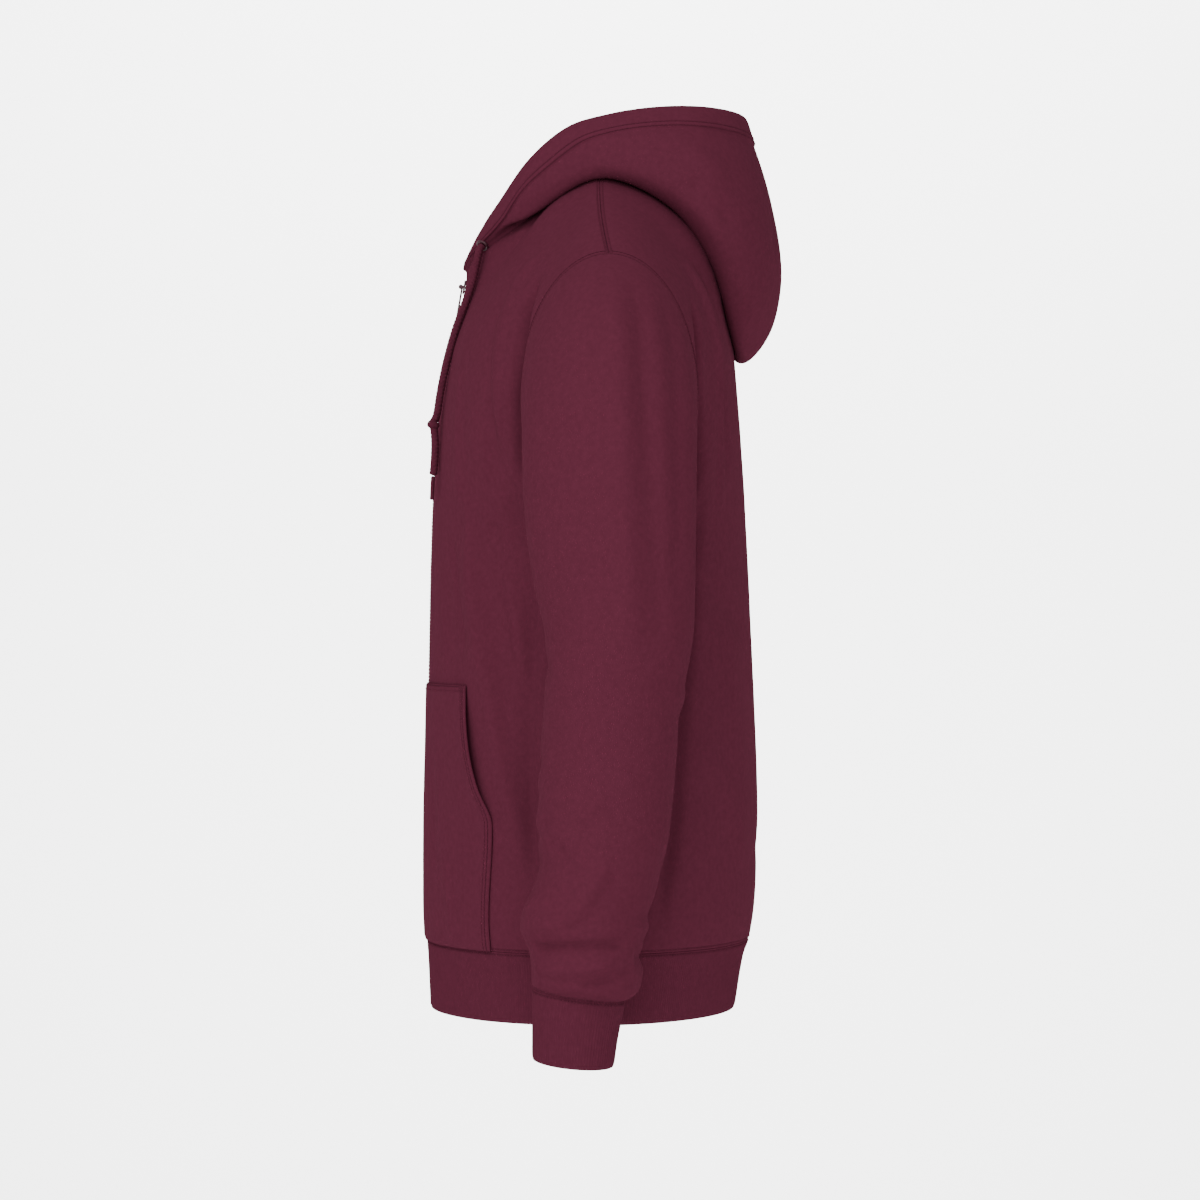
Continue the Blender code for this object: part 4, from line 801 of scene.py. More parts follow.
def move_out(panels, folds, creases, held, across_seams, settings):
    """Raises the folds, creases and ripples of a group of panels; only some cross the seams that hold it."""
    lines = placed(creases, panels)
    shifts = []
    for panel in panels:
        total = np.zeros(panel.points.shape[:2])
        for line, reach, height in folds:
            total += large_fold(panel.points, line, reach, height)
        for line, reach, height in lines:
            total += settings.crease_depth * small_crease(panel.points, line, reach, height)
        total += settings.ripple * ripples(panel.points)
        for seam in held:
            away, _ = near_line(panel.points, seam)
            total *= smoothstep(away / HELD_REACH)
        for line, reach, height in across_seams:
            total += settings.crease_depth * small_crease(panel.points, line, reach, height)
        shift = total[..., None] * unit(panel.normals)
        calmer = np.swapaxes(evened(np.swapaxes(evened(shift, CORNER_PASSES), 0, 1), CORNER_PASSES), 0, 1)
        for _, hand in SIDES:
            away, _ = near_line(panel.points, mirrored(NECK_CORNER, hand))
            shift = shift + np.exp(-((away / CORNER_REACH) ** 2))[..., None] * (calmer - shift)
        shifts.append(shift)
    for panel, shift in zip(panels, shifts):
        panel.points = panel.points + shift


def grid_quads(rows, columns, closed_across=True, closed_down=False):
    """The quads between a grid's points, where the last column or row may join the first."""
    down, across = np.arange(rows if closed_down else rows - 1), np.arange(columns if closed_across else columns - 1)
    r, c = (index.ravel() for index in np.meshgrid(down, across, indexing="ij"))
    below, beside = (r + 1) % rows * columns, (c + 1) % columns
    return np.stack([r * columns + c, r * columns + beside, below + beside, below + c], 1)


def wall_quads(rows, columns, closed, flip):
    """The quads of a closed wall: the outer sheet, the inner one and the rims, and each kind's count."""
    count = rows * columns
    outer = grid_quads(rows, columns, closed)
    inner = outer[:, ::-1] + count
    c = np.arange(columns if closed else columns - 1)
    d, low = (c + 1) % columns, (rows - 1) * columns
    rims = [
        np.stack([d, c, c + count, d + count], 1),
        np.stack([low + c, low + d, low + d + count, low + c + count], 1),
    ]
    if not closed:
        a = np.arange(rows - 1) * columns
        b = a + columns
        right = columns - 1
        rims.append(np.stack([a, b, b + count, a + count], 1))
        rims.append(np.stack([b + right, a + right, a + right + count, b + right + count], 1))
    faces = np.concatenate([outer, inner, *rims])
    if flip:
        faces = faces[:, ::-1]
    return faces, len(outer), len(inner)


def linked(name, data):
    """A new object for a mesh, light or camera, in the scene."""
    obj = bpy.data.objects.new(name, data)
    bpy.context.scene.collection.objects.link(obj)
    return obj


def listed_object(name, points, faces, materials=()):
    """An object from lists of points and faces."""
    mesh = bpy.data.meshes.new(name)
    mesh.from_pydata(points, [], faces)
    for material in materials:
        mesh.materials.append(material)
    return linked(name, mesh)


def mesh_object(name, points, faces, materials, material_index=None, uv=None):
    """An object from arrays of points and quads."""
    mesh = bpy.data.meshes.new(name)
    mesh.vertices.add(len(points))
    mesh.vertices.foreach_set("co", np.ascontiguousarray(points, np.float32).ravel())
    mesh.loops.add(faces.size)
    mesh.loops.foreach_set("vertex_index", np.ascontiguousarray(faces, np.int32).ravel())
    mesh.polygons.add(len(faces))
    mesh.polygons.foreach_set("loop_start", np.arange(0, faces.size, faces.shape[1], dtype=np.int32))
    for material in materials:
        mesh.materials.append(material)
    if material_index is not None:
        mesh.polygons.foreach_set("material_index", material_index.astype(np.int32))
    mesh.update(calc_edges=True)
    mesh.validate()
    if uv is not None:
        layer = mesh.uv_layers.new(name="cloth")
        layer.data.foreach_set("uv", np.ascontiguousarray(uv[faces.ravel()], np.float32).ravel())
    mesh.shade_smooth()
    return linked(name, mesh)


def wall(name, panel, outer, inner, materials):
    """A closed wall along a panel between two offsets; the outer face has the first material."""
    points = panel.pulled_back()
    rows, columns = points.shape[:2]
    front = points + panel.normals * outer[..., None]
    behind = points + panel.normals * inner[..., None]
    panel.outside = front
    faces, outer_count, inner_count = wall_quads(rows, columns, panel.closed, panel.flip)
    index = np.zeros(len(faces))
    index[outer_count : outer_count + inner_count] = 1
    along, below = panel.lengths()
    flat = np.stack([along[:, :columns], below[:, :columns]], -1).reshape(-1, 2)
    both = np.concatenate([front.reshape(-1, 3), behind.reshape(-1, 3)])
    obj = mesh_object(name, both, faces, materials, index, np.concatenate([flat, flat]))
    layer = obj.data.attributes.new("needle", "FLOAT", "POINT")
    layer.data.foreach_set("value", np.tile(panel.needle.ravel(), 2).astype(np.float32))
    return obj


def soft_edge(distance, deep=EDGE_DROP):
    """How far a wall's outer face falls away beside its edge."""
    return -deep * np.exp(-((distance / EDGE_REACH) ** 2))


# Materials


def nodes_of(material):
    """A material's nodes, links and shader."""
    tree = material.node_tree
    return tree.nodes, tree.links, tree.nodes["Principled BSDF"]


def plain_material(name, colour, roughness, **others):
    """A material of one colour, with more of the shader's inputs by their names."""
    made = bpy.data.materials.new(name)
    made.use_nodes = True
    for key, value in {"Base Color": (*colour, 1), "Roughness": roughness, **others}.items():
        nodes_of(made)[2].inputs[key].default_value = value
    return made


def add(nodes, kind, **values):
    """A new node, with values for its inputs and settings by their names."""
    node = nodes.new(kind)
    for key, value in values.items():
        if key in node.inputs:
            node.inputs[key].default_value = value
        else:
            setattr(node, key, value)
    return node


def sheen_tint(colour):
    """A paler kind of the colour."""
    return (*(min(1, 0.2 + 6 * c) for c in colour), 1)


def worked(material, operation, socket, value):
    """The result of a Math node on a socket and a value or another socket."""
    nodes, links, _ = nodes_of(material)
    step = add(nodes, "ShaderNodeMath", operation=operation)
    links.new(socket, step.inputs[0])
    if isinstance(value, (int, float)):
        step.inputs[1].default_value = value
    else:
        links.new(value, step.inputs[1])
    return step.outputs[0]


def speckle(material, place, scale, detail, roughness=0.5):
    """Noise over the surface, from 0 to 1."""
    nodes, links, _ = nodes_of(material)
    made = add(nodes, "ShaderNodeTexNoise", Scale=scale, Detail=detail, Roughness=roughness)
    links.new(place, made.inputs["Vector"])
    return made.outputs["Fac"]


# A needle line's place and width, the shade painted at its bottom as a share of the cloth's colour, and how much of
# that shows
GROOVE_HALF_GAP, GROOVE_WIDTH, GROOVE_PAINTED_SHADE, GROOVE_SHADE_SHARE = 0.0022, 0.0010, 0.55, 0.7


def needle_groove(material):
    """How deep in a needle line a place is: the attribute is the distance from the middle of the twin lines."""
    nodes, links, _ = nodes_of(material)
    socket = add(nodes, "ShaderNodeAttribute", attribute_name="needle").outputs["Fac"]
    for operation, value in (("ABSOLUTE", 0), ("SUBTRACT", GROOVE_HALF_GAP), ("ABSOLUTE", 0)):
        socket = worked(material, operation, socket, value)
    near = add(nodes, "ShaderNodeMapRange", interpolation_type="SMOOTHSTEP", **{
        "From Min": 0.0, "From Max": GROOVE_WIDTH, "To Min": 1.0, "To Max": 0.0,
    })
    links.new(socket, near.inputs["Value"])
    return near.outputs["Result"]


def mottled(material, colour, source, scale, low=0.90, high=1.10, groove=None):
    """Base colour that varies a little over the surface, and is darker in the needle lines, where shade is painted
    into their grooves.
    """
    nodes, links, shader = nodes_of(material)
    ramp = add(nodes, "ShaderNodeValToRGB")
    for stop, position, share in zip(ramp.color_ramp.elements, (0.30, 0.70), (low, high)):
        stop.position, stop.color = position, (*(c * share for c in colour), 1)
    links.new(speckle(material, source, scale, 4.0, 0.62), ramp.inputs["Fac"])
    if groove is None:
        links.new(ramp.outputs["Color"], shader.inputs["Base Color"])
        return
    # Painted shade: the base colour is darkened towards the bottom of each needle line's groove
    groove_shade = add(nodes, "ShaderNodeMix", data_type="RGBA")
    groove_shade.inputs["B"].default_value = (*(GROOVE_PAINTED_SHADE * c for c in colour), 1)
    links.new(worked(material, "MULTIPLY", groove, GROOVE_SHADE_SHARE), groove_shade.inputs["Factor"])
    links.new(ramp.outputs["Color"], groove_shade.inputs["A"])
    links.new(groove_shade.outputs["Result"], shader.inputs["Base Color"])


def bump(material, heights, strength, distance):
    """Adds bump from a list of height sockets with their shares."""
    nodes, links, shader = nodes_of(material)
    scaled = [worked(material, "MULTIPLY", socket, share) for socket, share in heights]
    total = functools.reduce(functools.partial(worked, material, "ADD"), scaled)
    node = add(nodes, "ShaderNodeBump", Strength=strength, Distance=distance)
    links.new(total, node.inputs["Height"])
    links.new(node.outputs["Normal"], shader.inputs["Normal"])


def bands(material, source, pitch, direction, distortion=0.0):
    """Fine bands across a direction, a pitch apart."""
    nodes, links, _ = nodes_of(material)
    made = add(nodes, "ShaderNodeTexWave", wave_type="BANDS", bands_direction=direction, Distortion=distortion, **{
        "Scale": 2 * math.pi / (20 * pitch), "Detail Scale": 1.5,
    })
    links.new(source, made.inputs["Vector"])
    return made.outputs["Fac"]


def knit_material(name, colour, kind):
    """Cloth: a jersey face with fine wales, a rib knit, or the brushed inside of fleece."""
    knit = KNITS[kind]
    made = plain_material(name, colour, knit.roughness, **{
        "Sheen Weight": knit.sheen, "Sheen Roughness": 0.45, "Sheen Tint": sheen_tint(colour),
        "Specular IOR Level": 0.0,
    })
    place = nodes_of(made)[0].new("ShaderNodeTexCoord").outputs
    # Each needle line's groove is bumped, and shade is painted into it through the base colour
    groove = needle_groove(made) if knit.wale else None
    mottled(made, colour, place["Object"], knit.patches, 0.93, 1.07, groove)
    nap = speckle(made, place["Object"], knit.nap, 5.0, 0.7)
    if not knit.wale:
        bump(made, [(nap, 1.0)], 0.75, 0.0009)
        return made
    wales = bands(made, place["UV"], knit.wale, "X", 0.6)
    courses = bands(made, place["UV"], COURSE_PITCH, "Y", 0.6)
    bump(made, [(wales, 0.22), (courses, 0.10), (nap, 0.8), (groove, -1.6)], 0.40, 0.00035)
    return made


# Each knit's roughness and sheen, how many patches of colour and fibres of nap to the metre, and its wales' pitch
Knit = namedtuple("Knit", "roughness sheen patches nap wale")
KNITS = {
    "jersey": Knit(0.88, 0.015, 220.0, 900.0, 0.0013),
    "rib": Knit(0.90, 0.015, 220.0, 900.0, 0.0012),
    "brushed": Knit(0.97, 0.06, 420.0, 520.0, None),
}
COURSE_PITCH = 0.0010


def braid_material(name, colour):
    """Braided cotton."""
    made = plain_material(name, colour, 0.9, **{
        "Sheen Weight": 0.02, "Sheen Tint": sheen_tint(colour), "Specular IOR Level": 0.0,
    })
    place = nodes_of(made)[0].new("ShaderNodeTexCoord").outputs["Object"]
    mottled(made, colour, place, 600.0, 0.8, 1.18)
    bump(made, [(speckle(made, place, 2600.0, 3.0), 1.0)], 0.35, 0.0002)
    return made


def enamel_material(name, colour):
    """Satin enamel, with a fine grain."""
    made = plain_material(name, colour, 0.42, **{
        "Metallic": 0.2, "Coat Weight": 0.08, "Coat Roughness": 0.3, "Specular IOR Level": 0.3,
    })
    place = nodes_of(made)[0].new("ShaderNodeTexCoord").outputs["Object"]
    mottled(made, colour, place, 900.0, 0.86, 1.12)
    bump(made, [(speckle(made, place, 1800.0, 2.0), 1.0)], 0.12, 0.0001)
    return made


def tape_material(name, colour):
    """Woven tape: a fine herringbone of two crossing bands."""
    made = plain_material(name, colour, 0.82, **{"Sheen Weight": 0.15})
    nodes, links, _ = nodes_of(made)
    place = nodes.new("ShaderNodeTexCoord").outputs["Object"]
    mottled(made, colour, place, 300.0)
    heights = []
    for turn in (0.7, -0.7):
        turned = add(nodes, "ShaderNodeMapping", Rotation=(0, turn, 0))
        links.new(place, turned.inputs["Vector"])
        heights.append((bands(made, turned.outputs["Vector"], 0.0007, "X"), 0.5))
    bump(made, heights, 0.45, 0.0002)
    return made


@functools.lru_cache(maxsize=None)
def material_named(name):
    """The garment's materials, made once."""
    cloth = bpy.context.scene.sweatshirt_cloth
    trims = bpy.context.scene.sweatshirt_trims
    thread = bpy.context.scene.sweatshirt_stitching.thread_colour
    kinds = {
        "fleece_face": lambda: knit_material("fleece_face", cloth.body_colour, "jersey"),
        "fleece_inside": lambda: knit_material("fleece_inside", [0.92 * c for c in cloth.body_colour], "brushed"),
        "rib_knit": lambda: knit_material("rib_knit", cloth.rib_colour, "rib"),
        "braided_cord": lambda: braid_material("braided_cord", trims.cord_colour),
        "sewing_thread": lambda: braid_material("sewing_thread", thread),
        "woven_tape": lambda: tape_material("woven_tape", [0.8 * c for c in cloth.body_colour]),
        "zip_teeth": lambda: enamel_material("zip_teeth", trims.zip_colour),
        "enamelled_metal": lambda: enamel_material("enamelled_metal", trims.metal_colour),
    }
    return kinds[name]()


# The garment's cloth, made once and shared by the operators

# Fine columns to each column by the neck and beyond it, and fine rows to each row
NECK_STEP, BODY_STEP, ROW_STEP = 12, 8, 6
# Extra columns and rows, by how far they are from the panel's edges and from the pocket's
SIDE_COLUMNS, MIDDLE_COLUMNS, POCKET_EDGE_COLUMNS = (0.015, 0.05, 0.1, 0.17), (0.015, 0.05), (-0.16, -0.08, 0.08)
END_ROWS, POCKET_EDGE_ROWS = (0.008, 0.03, 0.06, 0.11), (0.03, 0.09)


def body_columns():
    """The body's columns, from 0 at the middle, close together at its edges and the pocket's."""
    inner = np.linspace(0, NECK_COLUMNS, NECK_COLUMNS * NECK_STEP + 1)
    outer = np.linspace(NECK_COLUMNS, COLUMNS, (COLUMNS - NECK_COLUMNS) * BODY_STEP + 1)
    places = [*inner, *outer, *(COLUMNS - gap for gap in SIDE_COLUMNS), *MIDDLE_COLUMNS]
    places += [POCKET_COLUMN + gap for gap in POCKET_EDGE_COLUMNS]
    return np.array(sorted(set(np.round(places, 9))))


def body_rows():
    """The body's rows, from 0 at its top, close together at its end and the pocket's top."""
    rows = [*np.linspace(0, BODY_END_ROW, BODY_END_ROW * ROW_STEP + 1), *(BODY_END_ROW - gap for gap in END_ROWS)]
    rows += [POCKET_TOP_ROW + gap for gap in POCKET_EDGE_ROWS]
    return np.array(sorted(set(np.round(rows, 9))))


# Points to each rib, and the cuff's ring on which its ribs are counted
RIB_POINTS, CUFF_RING = 4, 2


def rib_turns(pitch):
    """Turns round the cuff, evenly spaced."""
    fine = np.linspace(0, 2 * math.pi, CUFF_FINE + 1)
    gone = gone_along(ring_points(CUFF, np.array([CUFF_RING]), fine)[0])
    count = RIB_POINTS * round(gone[-1] / pitch)
    return np.interp(np.arange(count) / count * gone[-1], gone, fine)


def hem_half(row):
    """Columns of the hem band's left half, from the zip round to the middle of the back, and how far along it."""
    fine = np.linspace(0, COLUMNS, HEM_FINE + 1)
    front, back = body_points(FRONT, fine, [row])[0], body_points(BACK, fine[::-1], [row])[0]
    gone = gone_along(np.concatenate([front, back[1:]]))
    return np.concatenate([fine, 2 * COLUMNS - fine[::-1][1:]]), gone


HEM_ROWS = np.array((0, 0.05, 0.15, 0.3, 0.6, 1, 1.4, 1.8, 2.2, 2.6, 2.85, 2.95, 3))


def hem_points(pitch):
    """The hem band's rows of points, evenly spaced along it."""
    rows = BODY_END_ROW + HEM_ROWS
    places, gone = hem_half(BODY_END_ROW + HEM_ROWS[-1] / 2)
    count = RIB_POINTS * round(gone[-1] / pitch)
    at = np.interp(np.arange(count + 1) / count * gone[-1], gone, places)
    front = body_points(FRONT, np.minimum(at, COLUMNS), rows)
    back = body_points(BACK, np.minimum(2 * COLUMNS - at, COLUMNS), rows)
    half = np.where((at <= COLUMNS)[None, :, None], front, back)
    return np.concatenate([half, mirrored(half, -1)[:, ::-1][:, 1:]], axis=1)


def fold_lines():
    """The large folds' ends on the body and on the sleeves."""
    body, sleeve = [], []
    fine_rows = np.arange(ROW_FINE * BODY_END_ROW + 1) / ROW_FINE
    heights = body_points(BACK, [COLUMNS / 2], fine_rows)[:, 0, 2]
    for face, hand, turn_a, z_a, turn_b, z_b, reach, height in BODY_FOLDS:
        ends = []
        for turn, z in ((turn_a, z_a), (turn_b, z_b)):
            row = fine_rows[np.argmin(abs(heights - z))]
            ends.append(mirrored(body_points(face, [COLUMNS * turn / 90], [row])[0, 0], hand))
        body.append((np.array(ends), reach, height))
    for hand, turn_a, ring_a, turn_b, ring_b, reach, height in SLEEVE_FOLDS:
        ends = [
            mirrored(ring_points(SLEEVE, np.array([ring]), np.array([math.radians(turn)]))[0, 0], hand)
            for turn, ring in ((turn_a, ring_a), (turn_b, ring_b))
        ]
        sleeve.append((np.array(ends), reach, height))
    return body, sleeve


@functools.lru_cache(maxsize=None)
def cloth_panels():
    """Every cloth panel, creased, with shared directions at the seams."""
    settings = bpy.context.scene.sweatshirt_cloth
    along = np.linspace(0, 1, 2 * NECK_COLUMNS * NECK_STEP + 1)
    panels = smooth_panels(settings, along)
    joined = [panel for name, panel in panels.items() if not name.startswith(("hem", "cuff"))]
    share_normals(joined)
    for name in ("hood_left", "hood_right"):
        panels[name].seam_gap = HOOD_GAP_SHARE * SEAM_GAP
    for name in ("front_left", "hem_band"):
        panels[name].zip_edge = panels[name].points[:, 0].copy(), panels[name].normals[:, 0].copy()
    body_folds, sleeve_folds = fold_lines()
    body_folds += rest_folds([panels[name] for name in ("front_left", "front_right", "back")])
    armhole = ring_points(SLEEVE, np.array([0.0]), np.linspace(0, 2 * math.pi, 61))[0]
    neckline = hood_points(along[::4], np.array([0.0]))[0]
    armholes, necklines = ([mirrored(line, hand) for _, hand in SIDES] for line in (armhole, neckline))
    groups = (
        (("front_left", "front_right", "back", "hem_band"), body_folds, BODY_CREASES, armholes + necklines),
        (("sleeve_left", "sleeve_right", "cuff_left", "cuff_right"), sleeve_folds, SLEEVE_CREASES, armholes),
        (("hood_left", "hood_right"), [], HOOD_CREASES, necklines),
    )
    across_seams = placed(SEAM_CREASES, [panels[name] for name in (*groups[0][0], *groups[1][0])])
    for names, folds, creases, held in groups:
        move_out([panels[name] for name in names], folds, creases, held, across_seams, settings)
    share_normals(joined)
    for name, panel in panels.items():
        if name.startswith(("hem", "cuff")):
            panel.normals = panel.own_normals()
    return panels


def rest_folds(panels):
    """The body's rise under the hood's fold, on both sides."""
    places = np.linspace(HOOD_REST[0, 0], HOOD_REST[-1, 0], 25)
    edge = hood_columns(places)[3]
    rise = spline(HOOD_REST[:, 0], HOOD_REST[:, 1], places)
    whole = np.concatenate([panel.points.reshape(-1, 3) for panel in panels])
    found = []
    for _, hand in SIDES:
        line = [whole[np.argmin(np.linalg.norm(whole - point, axis=1))] for point in mirrored(edge, hand)]
        found.append((evened(line, REST_PASSES), REST_REACH, rise))
    return found


# Fine rows to each ring of a sleeve and a cuff, and extra ones close to both ends
SLEEVE_STEP, SLEEVE_ENDS, CUFF_STEP, CUFF_ENDS = 7, (0.02, 0.05, 0.1, 0.2), 4, (0.04, 0.12)
# Fine marks to each of the hood's, and extra ones at its neck seam, where its casing starts, and at its rim
HOOD_STEP = 7
CLOSE_MARKS = (
    0.004, 0.01, 0.975, 0.99, 1.02, 1.05, 1.0833, 1.14, 1.25, 1.4, 1.55, 1.7, 1.85, 1.93, 1.97, 1.99, 2.0,
)


def smooth_panels(settings, along):
    """The panels before their folds and creases; along gives the hood's places along the neck."""
    columns, rows = body_columns(), body_rows()
    half = body_points(FRONT, columns, rows)
    behind = body_points(BACK, columns, rows)
    panels = {
        "front_left": Panel(half, flip=True),
        "front_right": Panel(mirrored(half, -1)[:, ::-1], flip=True),
        "back": Panel(np.concatenate([mirrored(behind, -1)[:, :0:-1], behind], axis=1)),
        "hem_band": Panel(hem_points(settings.rib_pitch), flip=True),
    }
    turns = np.linspace(0, 2 * math.pi, 2 * ARM_ROWS * ROW_STEP, endpoint=False)
    sleeve_places = steps(len(SLEEVE) - 1, SLEEVE_STEP, SLEEVE_ENDS)
    cuff_places = steps(len(CUFF) - 1, CUFF_STEP, CUFF_ENDS)
    cuff_turns = rib_turns(settings.rib_pitch)
    spans = len(HOOD_MARKS) - 1
    marks = np.interp(np.linspace(0, spans, HOOD_STEP * spans + 1), range(spans + 1), HOOD_MARKS)
    marks = np.array(sorted({*np.round(marks, 9), *CLOSE_MARKS}))
    hood = hood_points(along, marks)
    for side, hand in SIDES:
        flip = hand > 0
        panels["sleeve_" + side] = Panel(mirrored(ring_points(SLEEVE, sleeve_places, turns), hand), True, flip)
        panels["cuff_" + side] = Panel(mirrored(ring_points(CUFF, cuff_places, cuff_turns), hand), True, flip)
        panels["hood_" + side] = Panel(mirrored(hood, hand), False, not flip)
        panels["hood_" + side].marks = marks
    return panels


# A distance far from every needle line, and how far from the pocket's mouth and top their own lines count
FAR, MOUTH_SIDE, TOP_SIDE = 1.0, 0.011, 0.008


def needle_distance(name, panel):
    """How far each point is from the middle of the nearest twin needle lines."""
    along, below = panel.lengths()
    columns = panel.points.shape[1]
    across, below = along[:, :columns], below[:, :columns]
    far_side, far_end = across[:, -1:] - across, below[-1:] - below
    if name.startswith("hood"):
        return far_end - (CASING_WIDTH - CASING_NEEDLE - GROOVE_HALF_GAP)
    if name.startswith("pocket"):
        mouth = far_side if panel.points[0, -1, 0] > 0 and name.endswith("left") else across
        near_mouth, near_top = mouth - np.mean(MOUTH_NEEDLES), below - np.mean(POCKET_TOP_NEEDLES)
        return np.where(mouth < MOUTH_SIDE, near_mouth, np.where(below < TOP_SIDE, near_top, FAR))
    if name.startswith("cuff") or name == "hem_band":
        return below
    if name.startswith("sleeve"):
        return np.minimum(below, far_end)
    arm = np.arange(len(panel.points))[:, None] <= np.flatnonzero(body_rows() <= ARM_ROWS)[-1]
    found = np.minimum(far_end, np.where(abs(panel.points[:1, :, 0]) > NECK_FRONT[-1, 0], below, FAR))
    sides = {"front_left": [far_side], "front_right": [across], "back": [across, far_side]}[name]
    for side in sides:
        found = np.minimum(found, np.where(arm, side, FAR))
    return found


# The casing's rise and its sewn line's reach, both in marks; any sewn line's dip, and its reach; a rib's share inside
CASING_STEP, CASING_DIP_REACH, SEAM_DIP, SEAM_DIP_REACH, INNER_RIBS = 0.0833, 0.02, 0.0004, 0.0016, 0.6


def cloth_offsets(name, panel):
    """The outer and inner offsets of a panel's wall."""
    panel.needle = needle_distance(name, panel)
    outer = FLEECE / 2 + soft_edge(panel.edge_distance())
    inner = np.full(panel.points.shape[:2], -FLEECE / 2)
    if name.startswith("hood"):
        raised = smoothstep((panel.marks - 1) / CASING_STEP)[:, None]
        outer = outer + CASING_RAISE * raised
        outer = outer - SEAM_DIP * np.exp(-(((panel.marks - 1) / CASING_DIP_REACH) ** 2))[:, None]
    if name.startswith(("hem", "cuff")):
        phase = np.arange(panel.points.shape[1]) * 2 * math.pi / RIB_POINTS
        ribs = bpy.context.scene.sweatshirt_cloth.rib_height * np.cos(phase)
        outer, inner = outer + ribs, inner + INNER_RIBS * ribs
    if name.startswith("sleeve"):
        along, _ = panel.lengths()
        seam = np.minimum(along[:, :-1], along[:, -1:] - along[:, :-1])
        outer = outer - SEAM_DIP * np.exp(-((seam / SEAM_DIP_REACH) ** 2))
    return outer, inner


def make_cloth(names, slot, materials):
    panels = cloth_panels()
    for name in names:
        panel = panels[name]
        outer, inner = cloth_offsets(name, panel)
        obj = wall(name + "_cloth", panel, outer, inner, [material_named(m) for m in materials])
        finish_cloth(obj, name, slot)


def declare(obj, slot, *nodes, body=GARMENT):
    """Says what a piece rides on, and the solids that it stands for; its finish, the slot, is not used."""
    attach(obj, body)
    if nodes:
        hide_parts(*nodes)


def finish_cloth(obj, node, slot):
    """Declares a cloth piece."""
    declare(obj, slot, node)


# The most of a panel that a needle line may be in from its edge, and a stitch's height above the cloth
INSET_SHARE, STITCH_LIFT = 0.6, 0.0002


def inset_line(panel, edge, distance, first=0.0, last=1.0):
    """A line on the outer face at a distance from an edge of the panel, with the directions out of the cloth."""
    grid, normals = panel.outside, unit(panel.normals)
    if edge in ("first", "last"):
        grid, normals = grid.transpose(1, 0, 2), normals.transpose(1, 0, 2)
    if edge in ("bottom", "last"):
        grid, normals = grid[::-1], normals[::-1]
    count = grid.shape[1]
    points, ways = [], []
    for c in range(round(first * (count - 1)), round(last * (count - 1)) + 1):
        gone = gone_along(grid[:, c])
        far = min(distance, INSET_SHARE * gone[-1])
        way = unit(at_lengths(far, gone, normals[:, c]))
        points.append(at_lengths(far, gone, grid[:, c]) + way * STITCH_LIFT)
        ways.append(way)
    if panel.closed:
        points.append(points[0])
        ways.append(ways[0])
    return np.array(points), np.array(ways)


# Geometry Nodes


def along_lines_tree(name, material, item, pitch):
    """A node tree that sets copies of an item along lines, with one axis out of the surface."""
    tree = bpy.data.node_groups.new(name, "GeometryNodeTree")
    tree.is_modifier = True
    for way in ("INPUT", "OUTPUT"):
        tree.interface.new_socket("Geometry", in_out=way, socket_type="NodeSocketGeometry")
    spacing = tree.interface.new_socket("Spacing", in_out="INPUT", socket_type="NodeSocketFloat")
    spacing.default_value, spacing.min_value = pitch, 0.0005
    nodes = tree.nodes
    start, end = nodes.new("NodeGroupInput"), nodes.new("NodeGroupOutput")
    lines = nodes.new("GeometryNodeMeshToCurve")
    resample = add(nodes, "GeometryNodeResampleCurve", mode="LENGTH")
    place = nodes.new("GeometryNodeInstanceOnPoints")
    way = add(nodes, "GeometryNodeInputNamedAttribute", data_type="FLOAT_VECTOR", Name="out")
    tangent = nodes.new("GeometryNodeInputTangent")
    turn = add(nodes, "FunctionNodeAxesToRotation", primary_axis="X", secondary_axis="Z")
    source = add(nodes, "GeometryNodeObjectInfo", **{"Object": item, "As Instance": True})
    realize = nodes.new("GeometryNodeRealizeInstances")
    coat = add(nodes, "GeometryNodeSetMaterial", Material=material)
    for giver, output, taker, entry in (
        (start, "Geometry", lines, "Mesh"),
        (lines, "Curve", resample, "Curve"),
        (start, "Spacing", resample, "Length"),
        (resample, "Curve", place, "Points"),
        (tangent, "Tangent", turn, "Primary Axis"),
        (way, "Attribute", turn, "Secondary Axis"),
        (turn, "Rotation", place, "Rotation"),
        (source, "Geometry", place, "Instance"),
        (place, "Instances", realize, "Geometry"),
        (realize, "Geometry", coat, "Geometry"),
        (coat, "Geometry", end, "Geometry"),
    ):
        tree.links.new(giver.outputs[output], taker.inputs[entry])
    return tree, spacing.identifier


def copies_along(name, lines, item, pitch, material):
    """One plain mesh of copies of an item along lines of (points, ways)."""
    mesh = bpy.data.meshes.new(name + "_lines")
    points = np.concatenate([line for line, _ in lines])
    ways = np.concatenate([way for _, way in lines])
    edges, start = [], 0
    for line, _ in lines:
        edges += [(start + i, start + i + 1) for i in range(len(line) - 1)]
        start += len(line)
    mesh.from_pydata(points.tolist(), edges, [])
    out = mesh.attributes.new("out", "FLOAT_VECTOR", "POINT")
    out.data.foreach_set("vector", ways.astype(np.float32).ravel())
    guide = linked(name + "_lines", mesh)
    tree, spacing = along_lines_tree(name, material, item, pitch)
    step = guide.modifiers.new("copies", "NODES")
    step.node_group = tree
    step[spacing] = pitch
    bpy.context.view_layer.update()
    ready = guide.evaluated_get(bpy.context.evaluated_depsgraph_get())
    made = bpy.data.meshes.new_from_object(ready)
    made.name = name
    guide.modifiers.remove(step)
    bpy.data.objects.remove(guide)
    made.shade_smooth()
    return linked(name, made)


# A stitch's rings: place along it as a share of its length, then width and height as shares of its radius
STITCH_RINGS = ((-0.5, 0.35, -0.9), (-0.36, 0.9, -0.1), (0.0, 1.0, 0.25), (0.36, 0.9, -0.1), (0.5, 0.35, -0.9))
